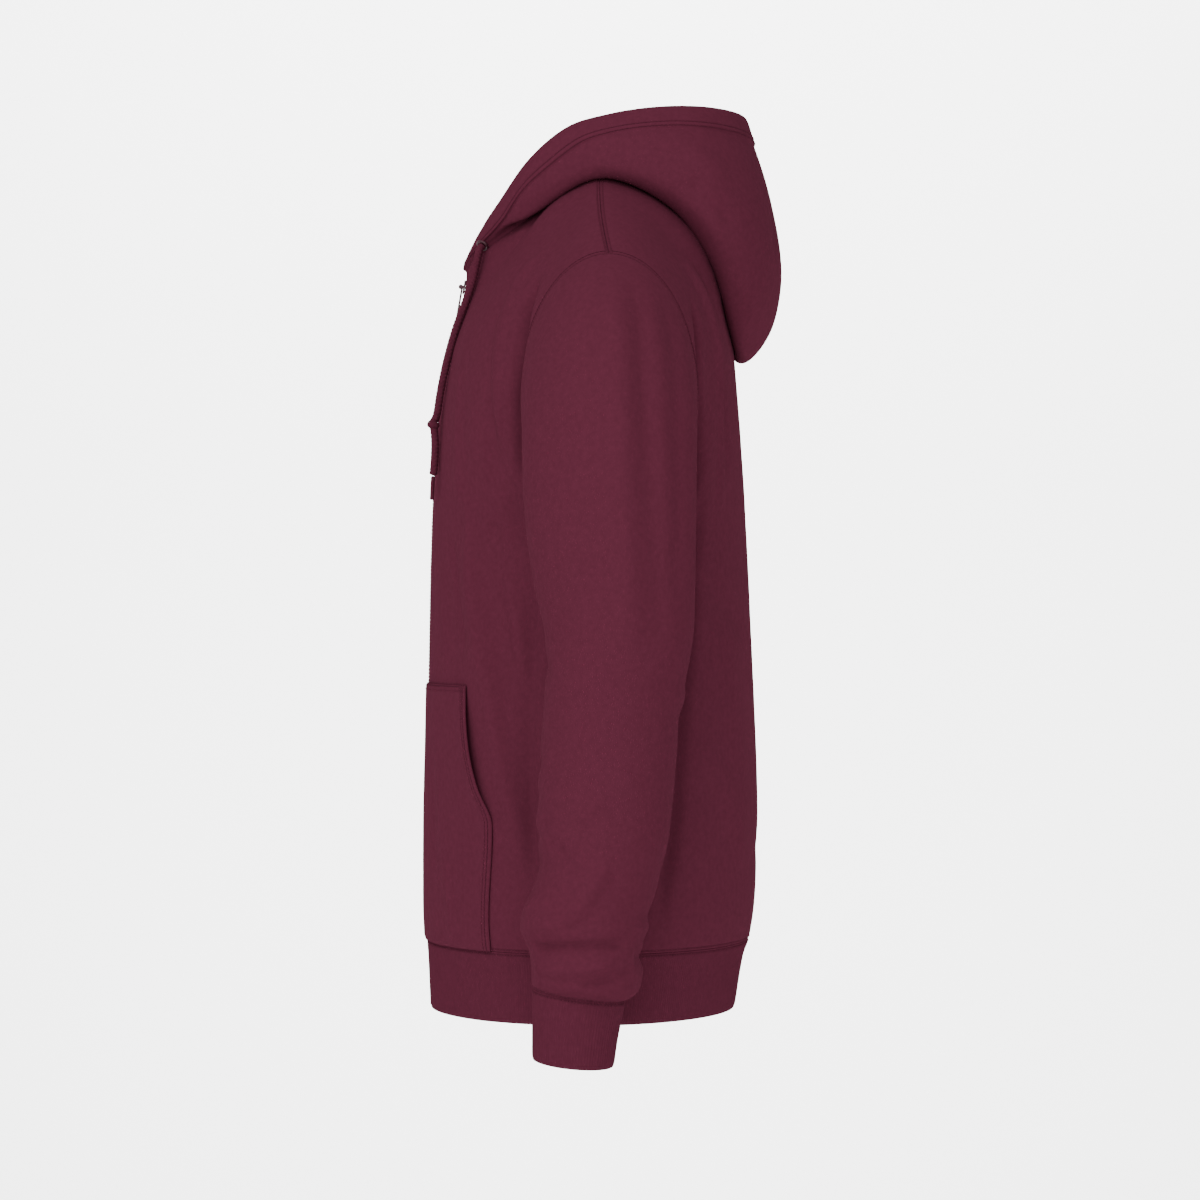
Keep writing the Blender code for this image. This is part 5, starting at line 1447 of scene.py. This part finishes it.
# Its sides, radius and flatness, and its share of a stitch's length
STITCH_SIDES, STITCH_RADIUS, FLATNESS, STITCH_SHARE = 6, 0.00034, 0.8, 0.8


def stitch_item(name, length, radius):
    """A short rod with sunk ends, along X, out along Z."""
    turns = [2 * math.pi * k / STITCH_SIDES for k in range(STITCH_SIDES)]
    points = [
        (x * length, width * radius * math.cos(turn), lift * radius + FLATNESS * (width * radius) * math.sin(turn))
        for x, width, lift in STITCH_RINGS for turn in turns
    ]
    return listed_object(name, points, grid_quads(len(STITCH_RINGS), STITCH_SIDES)[:, ::-1].tolist())


# Tubes


def even_route(route, step):
    """Points along a smooth curve through a route, about a step apart."""
    route = np.array(route)
    last = len(route) - 1
    fine = spline(range(last + 1), route, np.linspace(0, last, ROUTE_FINE * last + 1))
    gone = gone_along(fine)
    at = np.linspace(0, gone[-1], max(round(gone[-1] / step), 2) + 1)
    return at_lengths(at, gone, fine), at


def frames_along(line):
    """Two directions across a line at each of its points, that don't twist."""
    tangent = unit(np.gradient(line, axis=0))
    side = np.cross(tangent[0], (1.0, 0.0, 0.0))
    side = unit(side if np.linalg.norm(side) > 0.1 else np.cross(tangent[0], (0.0, 1.0, 0.0)))
    sides = []
    for way in tangent:
        side = unit(side - way * (side @ way))
        sides.append(side)
    sides = np.array(sides)
    return sides, np.cross(tangent, sides)


def tube_mesh(name, line, radii, materials):
    """A closed tube round a line; radii has a value for each point and turn."""
    around = radii.shape[1]
    sides, others = (directions[:, None] for directions in frames_along(line))
    turns = 2 * math.pi * np.arange(around)[:, None] / around
    rings = line[:, None] + radii[..., None] * (np.cos(turns) * sides + np.sin(turns) * others)
    points = np.concatenate([rings.reshape(-1, 3), line[:1], line[-1:]])
    faces = grid_quads(len(line), around).tolist()
    first = len(line) * around
    for k in range(around):
        n = (k + 1) % around
        faces += [[first, n, k], [first + 1, first - around + k, first - around + n]]
    tube = listed_object(name, points.tolist(), faces, materials)
    tube.data.shade_smooth()
    return tube


# Strands of the braid that go round it each way
STRANDS = 4
# The drawstring's tubes: points round each, how far its strands stand out, and over what length an end rounds off
Tube = namedtuple("Tube", "sides relief end")
CORD, WRAP, TIP = Tube(24, 0.00028, 0.0020), Tube(20, 0.00020, 0.0015), Tube(16, 0.00008, 0.0012)


def braided(at, tube, radius, pitch):
    """Radii of a braided cord: strands that go round it both ways."""
    turns = 2 * math.pi * np.arange(tube.sides) / tube.sides
    s = 2 * math.pi * at[:, None] / pitch
    one, two = (np.cos(STRANDS * (turns[None, :] + way * s)) for way in (1, -1))
    return radius - tube.relief + tube.relief * np.maximum(one, two)


def tapered(radii, at, end):
    """Rounds both ends of a tube."""
    near = np.minimum(at, at[-1] - at) / end
    return radii * np.sqrt(1 - (1 - np.clip(near, 0.02, 1)) ** 2)[:, None]


# Operators


class SWEATSHIRT_OT_body(bpy.types.Operator):
    """Makes the fronts, the back and the hem band"""

    bl_idname = "sweatshirt.body"
    bl_label = "Body"

    def execute(self, context):
        make_cloth(("front_left", "front_right", "back"), "fleece", ("fleece_face", "fleece_inside"))
        make_cloth(("hem_band",), "rib", ("rib_knit", "rib_knit"))
        return {"FINISHED"}


class SWEATSHIRT_OT_sleeves(bpy.types.Operator):
    """Makes the sleeves and the cuffs"""

    bl_idname = "sweatshirt.sleeves"
    bl_label = "Sleeves"

    def execute(self, context):
        make_cloth(("sleeve_left", "sleeve_right"), "fleece", ("fleece_face", "fleece_inside"))
        make_cloth(("cuff_left", "cuff_right"), "rib", ("rib_knit", "rib_knit"))
        return {"FINISHED"}


class SWEATSHIRT_OT_hood(bpy.types.Operator):
    """Makes the two halves of the hood"""

    bl_idname = "sweatshirt.hood"
    bl_label = "Hood"

    def execute(self, context):
        make_cloth(("hood_left", "hood_right"), "fleece", ("fleece_face", "fleece_face"))
        return {"FINISHED"}


def pocket_panel(front, middle_first):
    """The pocket's grid, from the front's own points."""
    columns, rows = body_columns(), body_rows()
    use_columns = np.flatnonzero(columns <= POCKET_COLUMN + 1e-6)
    if not middle_first:
        use_columns = (len(columns) - 1 - use_columns)[::-1]
        columns = columns[::-1]
    use_rows = np.flatnonzero(rows >= POCKET_TOP_ROW - 1e-6)
    panel = Panel(front.points[np.ix_(use_rows, use_columns)], flip=front.flip)
    panel.normals = front.normals[np.ix_(use_rows, use_columns)]
    panel.columns = columns[use_columns]
    return panel


class SWEATSHIRT_OT_pockets(bpy.types.Operator):
    """Makes the pockets, with their mouths standing a little open"""

    bl_idname = "sweatshirt.pockets"
    bl_label = "Pockets"

    def execute(self, context):
        panels = cloth_panels()
        for side, hand in SIDES:
            pocket = pocket_panel(panels["front_" + side], hand > 0)
            z = pocket.points[..., 2]
            down = np.clip((MOUTH_TOP_Z - z) / (MOUTH_TOP_Z - MOUTH_END_Z), 0, 1)
            near_mouth = np.maximum(1 - (POCKET_COLUMN - pocket.columns) / MOUTH_REACH, 0)[None, :]
            open_by = MOUTH_LIFT * np.sin(math.pi * down) * near_mouth
            inside = FLEECE / 2 + SEAM_GAP + open_by
            outer = inside + FLEECE + soft_edge(pocket.edge_distance(), POCKET_EDGE_DROP)
            pocket.needle = needle_distance("pocket_" + side, pocket)
            obj = wall("pocket_" + side + "_cloth", pocket, outer, inside,
                       [material_named("fleece_face"), material_named("fleece_inside")])
            panels["pocket_" + side] = pocket
            finish_cloth(obj, "pocket_" + side, "fleece")
        return {"FINISHED"}


# Needle lines, by how far they run from their seam or edge: the casing's outer one, the one along the zip, and the
# pairs at the pocket's mouth and top
CASING_NEEDLE, ZIP_NEEDLE = 0.0016, 0.0055
MOUTH_NEEDLES, POCKET_TOP_NEEDLES = (0.0044, 0.0080), (0.0020, 0.0052)


def needle_lines(gap):
    """Each group's lines of stitches: panel, edge, distance from it, and the shares of it between which they run."""
    panels, columns, rows = cloth_panels(), body_columns(), body_rows()
    needle = gap / 2
    arm = np.flatnonzero(rows <= ARM_ROWS)[-1] / (len(rows) - 1)
    neck = np.flatnonzero(columns >= NECK_COLUMNS)[0] / (len(columns) - 1)
    found = {kind: [] for kind in ("hood", "sleeve", "body", "pocket", "cuff")}
    for side, hand in SIDES:
        front, sleeve, hood, pocket, cuff = (
            panels[f"{kind}_{side}"] for kind in ("front", "sleeve", "hood", "pocket", "cuff")
        )
        zip_edge, side_edge = ("first", "last") if hand > 0 else ("last", "first")
        shoulder = (neck, 1.0) if hand > 0 else (0.0, 1 - neck)
        found["hood"] += [(hood, "bottom", CASING_WIDTH - CASING_NEEDLE - inner) for inner in (0, gap)]
        found["sleeve"].append((sleeve, "top", needle))
        found["body"] += [
            (front, side_edge, needle, 0, arm), (front, "bottom", needle), (front, zip_edge, ZIP_NEEDLE),
            (front, "top", needle, *shoulder),
        ]
        found["cuff"] += [(sleeve, "bottom", needle), (cuff, "top", needle)]
        found["pocket"] += [(pocket, side_edge, distance) for distance in MOUTH_NEEDLES]
        found["pocket"] += [(pocket, "top", distance) for distance in POCKET_TOP_NEEDLES]
    back = panels["back"]
    found["body"] += [
        (back, "top", needle, 0, 0.5 - neck / 2), (back, "top", needle, 0.5 + neck / 2, 1), (back, "bottom", needle),
        (back, "first", needle, 0, arm), (back, "last", needle, 0, arm), (panels["hem_band"], "top", needle),
    ]
    return found


class SWEATSHIRT_OT_stitching(bpy.types.Operator):
    """Sews the needle lines along the seams"""

    bl_idname = "sweatshirt.stitching"
    bl_label = "Stitching"

    def execute(self, context):
        settings = context.scene.sweatshirt_stitching
        stitch = stitch_item("stitch", STITCH_SHARE * settings.stitch_length, STITCH_RADIUS)
        for kind, lines in needle_lines(settings.needle_gap).items():
            sewn = [inset_line(*line) for line in lines]
            thread = material_named("sewing_thread")
            declare(copies_along(kind + "_stitches", sewn, stitch, settings.stitch_length, thread), "fleece")
        bpy.data.objects.remove(stitch)
        return {"FINISHED"}


def middle_line():
    """The line down the front at the zip, with the direction out of it."""
    panels = cloth_panels()
    (front, front_ways), (hem, hem_ways) = panels["front_left"].zip_edge, panels["hem_band"].zip_edge
    points = np.concatenate([front, hem[1:]]) * (0, 1, 1)
    ways = np.concatenate([front_ways, hem_ways[1:]]) * (0, 1, 1)
    return points, unit(ways)


def cut_line(points, ways, top_z, end_z, step):
    """The line between two heights, with points a step apart."""
    gone = gone_along(points)
    top, end = (np.interp(-z, -points[:, 2], gone) for z in (top_z, end_z))
    at = np.linspace(top, end, max(round((end - top) / step), 2) + 1)
    return at_lengths(at, gone, points), unit(at_lengths(at, gone, ways))


# A tooth: its foot's end, its width's share, its outline from the front, and its layers' heights and widths
TOOTH_FOOT, TOOTH_WIDTH = -0.001, 0.95
TOOTH_OUTLINE = (
    (-0.0011, -0.0026), (-0.0011, -0.0002), (-0.0007, 0.0006), (0.0007, 0.0006), (0.0011, -0.0002),
    (0.0011, -0.0026),
)
TOOTH_LAYERS = (
    (CHAIN_BACK, 0.75), (CHAIN_BACK + 0.0005, 1.0), (CHAIN_FRONT - 0.0005, 1.0), (CHAIN_FRONT, 0.72),
)


def tooth_item(name):
    """A moulded tooth: a foot on the tape and a rounded head that meshes, along Y, out along Z."""
    points = []
    for z, shrink in TOOTH_LAYERS:
        points += [(x * shrink * TOOTH_WIDTH, y * (1 if y < TOOTH_FOOT else shrink), z) for x, y in TOOTH_OUTLINE]
    count = len(TOOTH_OUTLINE)
    ends = [list(range(count)), [3 * count + i for i in reversed(range(count))]]
    return listed_object(name, points, ends + grid_quads(4, count).tolist())


# Free ends of the chain at the slider and the stop, how far each row of teeth stands from the middle, the end of
# the beads above the hem's end, and their points' spacing
CHAIN_TOP_FREE, CHAIN_END_FREE, ROW_OFFSET, BEAD_END, BEAD_STEP = 0.0012, 0.0015, 0.00035, 0.0004, 0.005
BEAD_SIDES = 8


def zip_teeth_rows(context, line, out, pitch):
    """Both rows of teeth, whose teeth stand by turns along the line."""
    tooth, rows = tooth_item("tooth"), []
    for first, (_, hand) in enumerate(SIDES):
        row = line[first::2] + np.array((hand * ROW_OFFSET, 0, 0))
        # Heads point to the middle from both sides, so one row runs up and the other down
        lines = [(row[::hand], out[first::2][::hand])]
        rows.append(copies_along(f"teeth_{first}", lines, tooth, pitch, material_named("zip_teeth")))
    bpy.data.objects.remove(tooth)
    chain = rows[0]
    with context.temp_override(active_object=chain, selected_editable_objects=rows, object=chain,
                               selected_objects=rows):
        bpy.ops.object.join()
    chain.name = chain.data.name = "zip_teeth_rows"
    return chain


class SWEATSHIRT_OT_zip(bpy.types.Operator):
    """Makes the zip's teeth, slider, stop and pull tab, and the eyelets"""

    bl_idname = "sweatshirt.zip"
    bl_label = "Zip"

    def execute(self, context):
        pitch = context.scene.sweatshirt_trims.tooth_pitch
        points, ways = middle_line()
        chain_top = SLIDER_Z + SLIDER_LENGTH / 2 - POST_HEIGHT - SEAM_GAP
        stop_top = HEM_END_Z + STOP_HEIGHT
        line, out = cut_line(points, ways, chain_top - CHAIN_TOP_FREE, stop_top + CHAIN_END_FREE, pitch / 2)
        declare(zip_teeth_rows(context, line, out, pitch), "zip_teeth", "zip_teeth")
        line, out = cut_line(points, ways, chain_top, HEM_END_Z + BEAD_END, BEAD_STEP)
        tape, enamel = material_named("woven_tape"), material_named("enamelled_metal")
        for side, hand in SIDES:
            bead = line - BEAD_DEPTH * out + np.array((hand * BEAD_X, 0, 0))
            radii = np.full((len(bead), BEAD_SIDES), BEAD_RADIUS)
            declare(tube_mesh(f"tape_bead_{side}", bead, radii, [tape]), "zip_tape")
            dress("zip_tape_" + side, "woven_tape")
        for node, body, width in (
            ("zip_slider", GARMENT, 0.00030), ("zip_stop", GARMENT, 0.00030), ("zip_pull", PULL_TAB, 0.00032),
        ):
            name = node.replace("zip_", "") + "_enamel"
            declare(rounded_copy(node, name, width, enamel), "zip_metal", node, body=body)
        for side, _ in SIDES:
            declare(eyelet_ring("eyelet_" + side, enamel), "eyelet", "eyelet_" + side)
        return {"FINISHED"}


def dress(node, material):
    """Gives a node's object its finished material."""
    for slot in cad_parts[node].material_slots:
        slot.material = material_named(material)


# Faces that turn by less count as flat, and edges that turn by more are rounded
FLAT_ANGLE, SHARP_ANGLE = math.radians(2), math.radians(40)


def rounded_copy(node, name, width, material):
    """A copy of a solid with its sharp edges rounded."""
    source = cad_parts[node]
    shape = bmesh.new()
    shape.from_mesh(source.data)
    bmesh.ops.transform(shape, matrix=source.matrix_world, verts=shape.verts)
    bmesh.ops.remove_doubles(shape, verts=shape.verts, dist=1e-6)
    bmesh.ops.dissolve_limit(shape, angle_limit=FLAT_ANGLE, verts=shape.verts, edges=shape.edges)
    sharp = [edge for edge in shape.edges if len(edge.link_faces) == 2 and edge.calc_face_angle() > SHARP_ANGLE]
    bmesh.ops.bevel(shape, geom=sharp, offset=width, offset_type="OFFSET", segments=3, profile=0.5,
                    affect="EDGES", clamp_overlap=True)
    bmesh.ops.triangulate(shape, faces=[face for face in shape.faces if len(face.verts) > 4])
    mesh = bpy.data.meshes.new(name)
    shape.to_mesh(mesh)
    shape.free()
    mesh.materials.append(material)
    mesh.shade_smooth()
    return linked(name, mesh)


# An eyelet's section: out from its hole's circle, and up from the cloth
EYELET_PROFILE = (
    (-0.0013, -0.0007), (-0.0012, -0.0003), (-0.0007, 0.0005), (0.0, 0.0008), (0.0007, 0.0005), (0.0012, -0.0003),
    (0.0013, -0.0007),
)
# Its turns, and about which way the left one faces
EYELET_TURNS, EYELET_FACING = 48, np.array((0.5, -0.8, 0.3))


def eyelet_ring(node, material):
    """A smooth ring with a wide foot where the solid eyelet is."""
    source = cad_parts[node]
    spots = np.array([source.matrix_world @ vertex.co for vertex in source.data.vertices])
    low, high = spots.min(0), spots.max(0)
    centre = (low + high) / 2
    axes = np.linalg.svd(spots - centre)[2]
    facing = mirrored(EYELET_FACING, np.sign(centre[0]))
    way = axes[2] * np.sign(axes[2] @ ((spots - centre).mean(0) + facing))
    across, other = axes[0], np.cross(way, axes[0])
    turns = 2 * math.pi * np.arange(EYELET_TURNS) / EYELET_TURNS
    points = [
        centre + (EYELET_RADIUS + out) * (math.cos(turn) * across + math.sin(turn) * other) + up * way
        for out, up in EYELET_PROFILE for turn in turns
    ]
    faces = grid_quads(len(EYELET_PROFILE), EYELET_TURNS, closed_down=True)[:, ::-1]
    return mesh_object(node + "_ring", np.array(points), faces, [material])


# The knot's wrap: its radius, the turn where it starts, its turns in half circles, its half height, how far it leans,
# and its number of points
WRAP_RADIUS, WRAP_START, WRAP_TURNS, WRAP_HALF_HEIGHT, WRAP_LEAN, WRAP_POINTS = 0.0030, 0.2, 2.6, 0.0042, 0.0010, 90
# Steps along the cord and its tips, and the pitch of the thread round each tip
CORD_STEP, TIP_STEP, BINDING_PITCH = 0.0007, 0.0004, 0.0011


def knot_wrap(name, hand, pitch, cord):
    """The cord wrapped round its knot's middle."""
    turn = np.linspace(WRAP_START, WRAP_START + WRAP_TURNS * math.pi, WRAP_POINTS)
    height = np.linspace(WRAP_HALF_HEIGHT, -WRAP_HALF_HEIGHT, WRAP_POINTS)
    swell = np.sqrt(np.maximum(1 - (height / KNOT_SIZE[2]) ** 2, 0.2))
    loop = mirrored(np.array(KNOT_CENTRE), hand) + np.stack([
        (KNOT_SIZE[0] - WRAP_RADIUS) * swell * np.cos(turn) * hand,
        (KNOT_SIZE[1] - WRAP_RADIUS) * swell * np.sin(turn),
        height + WRAP_LEAN * np.sin(turn),
    ], -1)
    gone = gone_along(loop)
    return tube_mesh(name, loop, tapered(braided(gone, WRAP, WRAP_RADIUS, pitch), gone, WRAP.end), [cord])


def bound_tip(name, hand, cord):
    """The cord's end, bound tight with thread."""
    line, at = even_route(mirrored(np.array(TIP_ROUTE), hand), TIP_STEP)
    bound = TIP_RADIUS + TIP.relief * np.cos(2 * math.pi * at / BINDING_PITCH)
    return tube_mesh(name, line, tapered(np.repeat(bound[:, None], TIP.sides, 1), at, TIP.end), [cord])


class SWEATSHIRT_OT_drawstrings(bpy.types.Operator):
    """Makes the drawstring's two hanging ends with their knots and bound tips"""

    bl_idname = "sweatshirt.drawstrings"
    bl_label = "Drawstrings"

    def execute(self, context):
        pitch = context.scene.sweatshirt_trims.braid_pitch
        cord = material_named("braided_cord")
        for side, hand in SIDES:
            line, at = even_route(mirrored(np.array((*CORD_ROUTE, KNOT_CENTRE, *TAIL_ROUTE)), hand), CORD_STEP)
            radii = tapered(braided(at, CORD, CORD_RADIUS, pitch), at, CORD.end)
            piece = tube_mesh("cord_" + side, line, radii, [cord])
            knot = knot_wrap(f"knot_{side}_wrap", hand, pitch, cord)
            tip = bound_tip("bound_tip_" + side, hand, cord)
            declare(piece, "cord", "drawstring_" + side, "drawstring_tail_" + side)
            declare(knot, "cord", "knot_" + side)
            declare(tip, "cord_tip", "cord_tip_" + side)
        return {"FINISHED"}


def stage_sheet(name, line, half_width):
    """A flat or curved sheet whose side view is the line of (x, z)."""
    points = [(x, y, z) for x, z in line for y in (-half_width, half_width)]
    sheet = listed_object(name, points, grid_quads(len(line), 2, closed_across=False).tolist())
    sheet.data.shade_smooth()
    return sheet


# The camera's height, the garment's middle, the floor and how far it reaches
CAMERA_Z, MIDDLE, FLOOR_Z, FLOOR_REACH = -0.364, (0, 0, -0.35), -1.5, 30
# The backdrop: its foot and how far that is above the floor, its own place, bend and the bend's middle, top and reach
FOOT_X, FOOT_LIFT, BACKDROP_X, BEND, BEND_Z, TOP_Z, BACKDROP_REACH = -2.5, 0.005, -5.8, 1.4, -0.08, 1.1, 1.7


def area_light(name, place, target, size, power):
    """A soft light that faces its target."""
    data = bpy.data.lights.new(name, "AREA")
    data.shape, data.size, data.size_y, data.energy = "RECTANGLE", size[0], size[1], power
    obj = linked(name, data)
    obj.location = place
    obj.rotation_euler = (Vector(target) - Vector(place)).to_track_quat("-Z", "Y").to_euler()


class SWEATSHIRT_OT_stage(bpy.types.Operator):
    """Makes the floor, the lights and the camera"""

    bl_idname = "sweatshirt.stage"
    bl_label = "Stage"

    def execute(self, context):
        settings = context.scene.sweatshirt_studio
        data = bpy.data.cameras.new("camera")
        data.lens, data.sensor_width, data.clip_end = settings.lens, 36, 100
        camera = linked("camera", data)
        camera.location = (settings.camera_distance, 0, CAMERA_Z)
        camera.rotation_euler = (math.pi / 2, 0, math.pi / 2)
        context.scene.camera = camera
        turns = np.linspace(0, math.pi / 2, 17)
        bend = [(BACKDROP_X + BEND - BEND * math.sin(t), BEND_Z - BEND * math.cos(t)) for t in turns]
        floor = stage_sheet("floor", [(FLOOR_REACH, FLOOR_Z), (-FLOOR_REACH, FLOOR_Z)], FLOOR_REACH)
        side_view = [(FOOT_X, FLOOR_Z + FOOT_LIFT), *bend, (BACKDROP_X, TOP_Z)]
        backdrop = stage_sheet("backdrop", side_view, BACKDROP_REACH)
        for sheet in (floor, backdrop):
            sheet.data.materials.append(plain_material("pale_" + sheet.name, (0.93, 0.93, 0.93), 0.9))
        world = bpy.data.worlds.new("studio")
        world.use_nodes = True
        sky = world.node_tree.nodes["Background"].inputs
        sky["Color"].default_value, sky["Strength"].default_value = (1, 1, 1, 1), settings.ambient
        context.scene.world = world
        area_light("key", (2.6, -1.7, 2.9), MIDDLE, (1.5, 1.5), settings.key_power)
        area_light("side", (3.9, -0.20, 0.30), MIDDLE, (1.5, 1.5), settings.side_power)
        area_light("backdrop_light", (-2.4, 0, 2.6), (BACKDROP_X, 0, -0.5), (4.0, 0.8), settings.backdrop_power)
        return {"FINISHED"}


class SWEATSHIRT_PT_panel(bpy.types.Panel):
    """The sweatshirt's pieces and settings"""

    bl_label = "Sweatshirt"
    bl_idname = "SWEATSHIRT_PT_panel"
    bl_space_type = "VIEW_3D"
    bl_region_type = "UI"
    bl_category = "Sweatshirt"

    def draw(self, context):
        column = self.layout.column()
        for operator in OPERATORS:
            column.operator(operator.bl_idname)
        for name in SETTINGS:
            group = getattr(context.scene, name)
            for key in group.bl_rna.properties.keys():
                if key not in ("rna_type", "name"):
                    column.prop(group, key)


SETTINGS = {
    "sweatshirt_cloth": SweatshirtCloth,
    "sweatshirt_stitching": SweatshirtStitching,
    "sweatshirt_trims": SweatshirtTrims,
    "sweatshirt_studio": SweatshirtStudio,
}
OPERATORS = (
    SWEATSHIRT_OT_stage,
    SWEATSHIRT_OT_drawstrings,
    SWEATSHIRT_OT_body,
    SWEATSHIRT_OT_sleeves,
    SWEATSHIRT_OT_hood,
    SWEATSHIRT_OT_pockets,
    SWEATSHIRT_OT_stitching,
    SWEATSHIRT_OT_zip,
)
CLASSES = (*SETTINGS.values(), *OPERATORS, SWEATSHIRT_PT_panel)


def register():
    for cls in CLASSES:
        bpy.utils.register_class(cls)
    for name, group in SETTINGS.items():
        setattr(bpy.types.Scene, name, bpy.props.PointerProperty(type=group))


def unregister():
    for name in SETTINGS:
        delattr(bpy.types.Scene, name)
    for cls in reversed(CLASSES):
        bpy.utils.unregister_class(cls)


def main():
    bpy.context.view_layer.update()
    register()
    bpy.ops.sweatshirt.stage()
    bpy.ops.sweatshirt.drawstrings()
    bpy.ops.sweatshirt.body()
    bpy.ops.sweatshirt.sleeves()
    bpy.ops.sweatshirt.hood()
    bpy.ops.sweatshirt.pockets()
    bpy.ops.sweatshirt.stitching()
    bpy.ops.sweatshirt.zip()


if __name__ == "__main__":
    main()
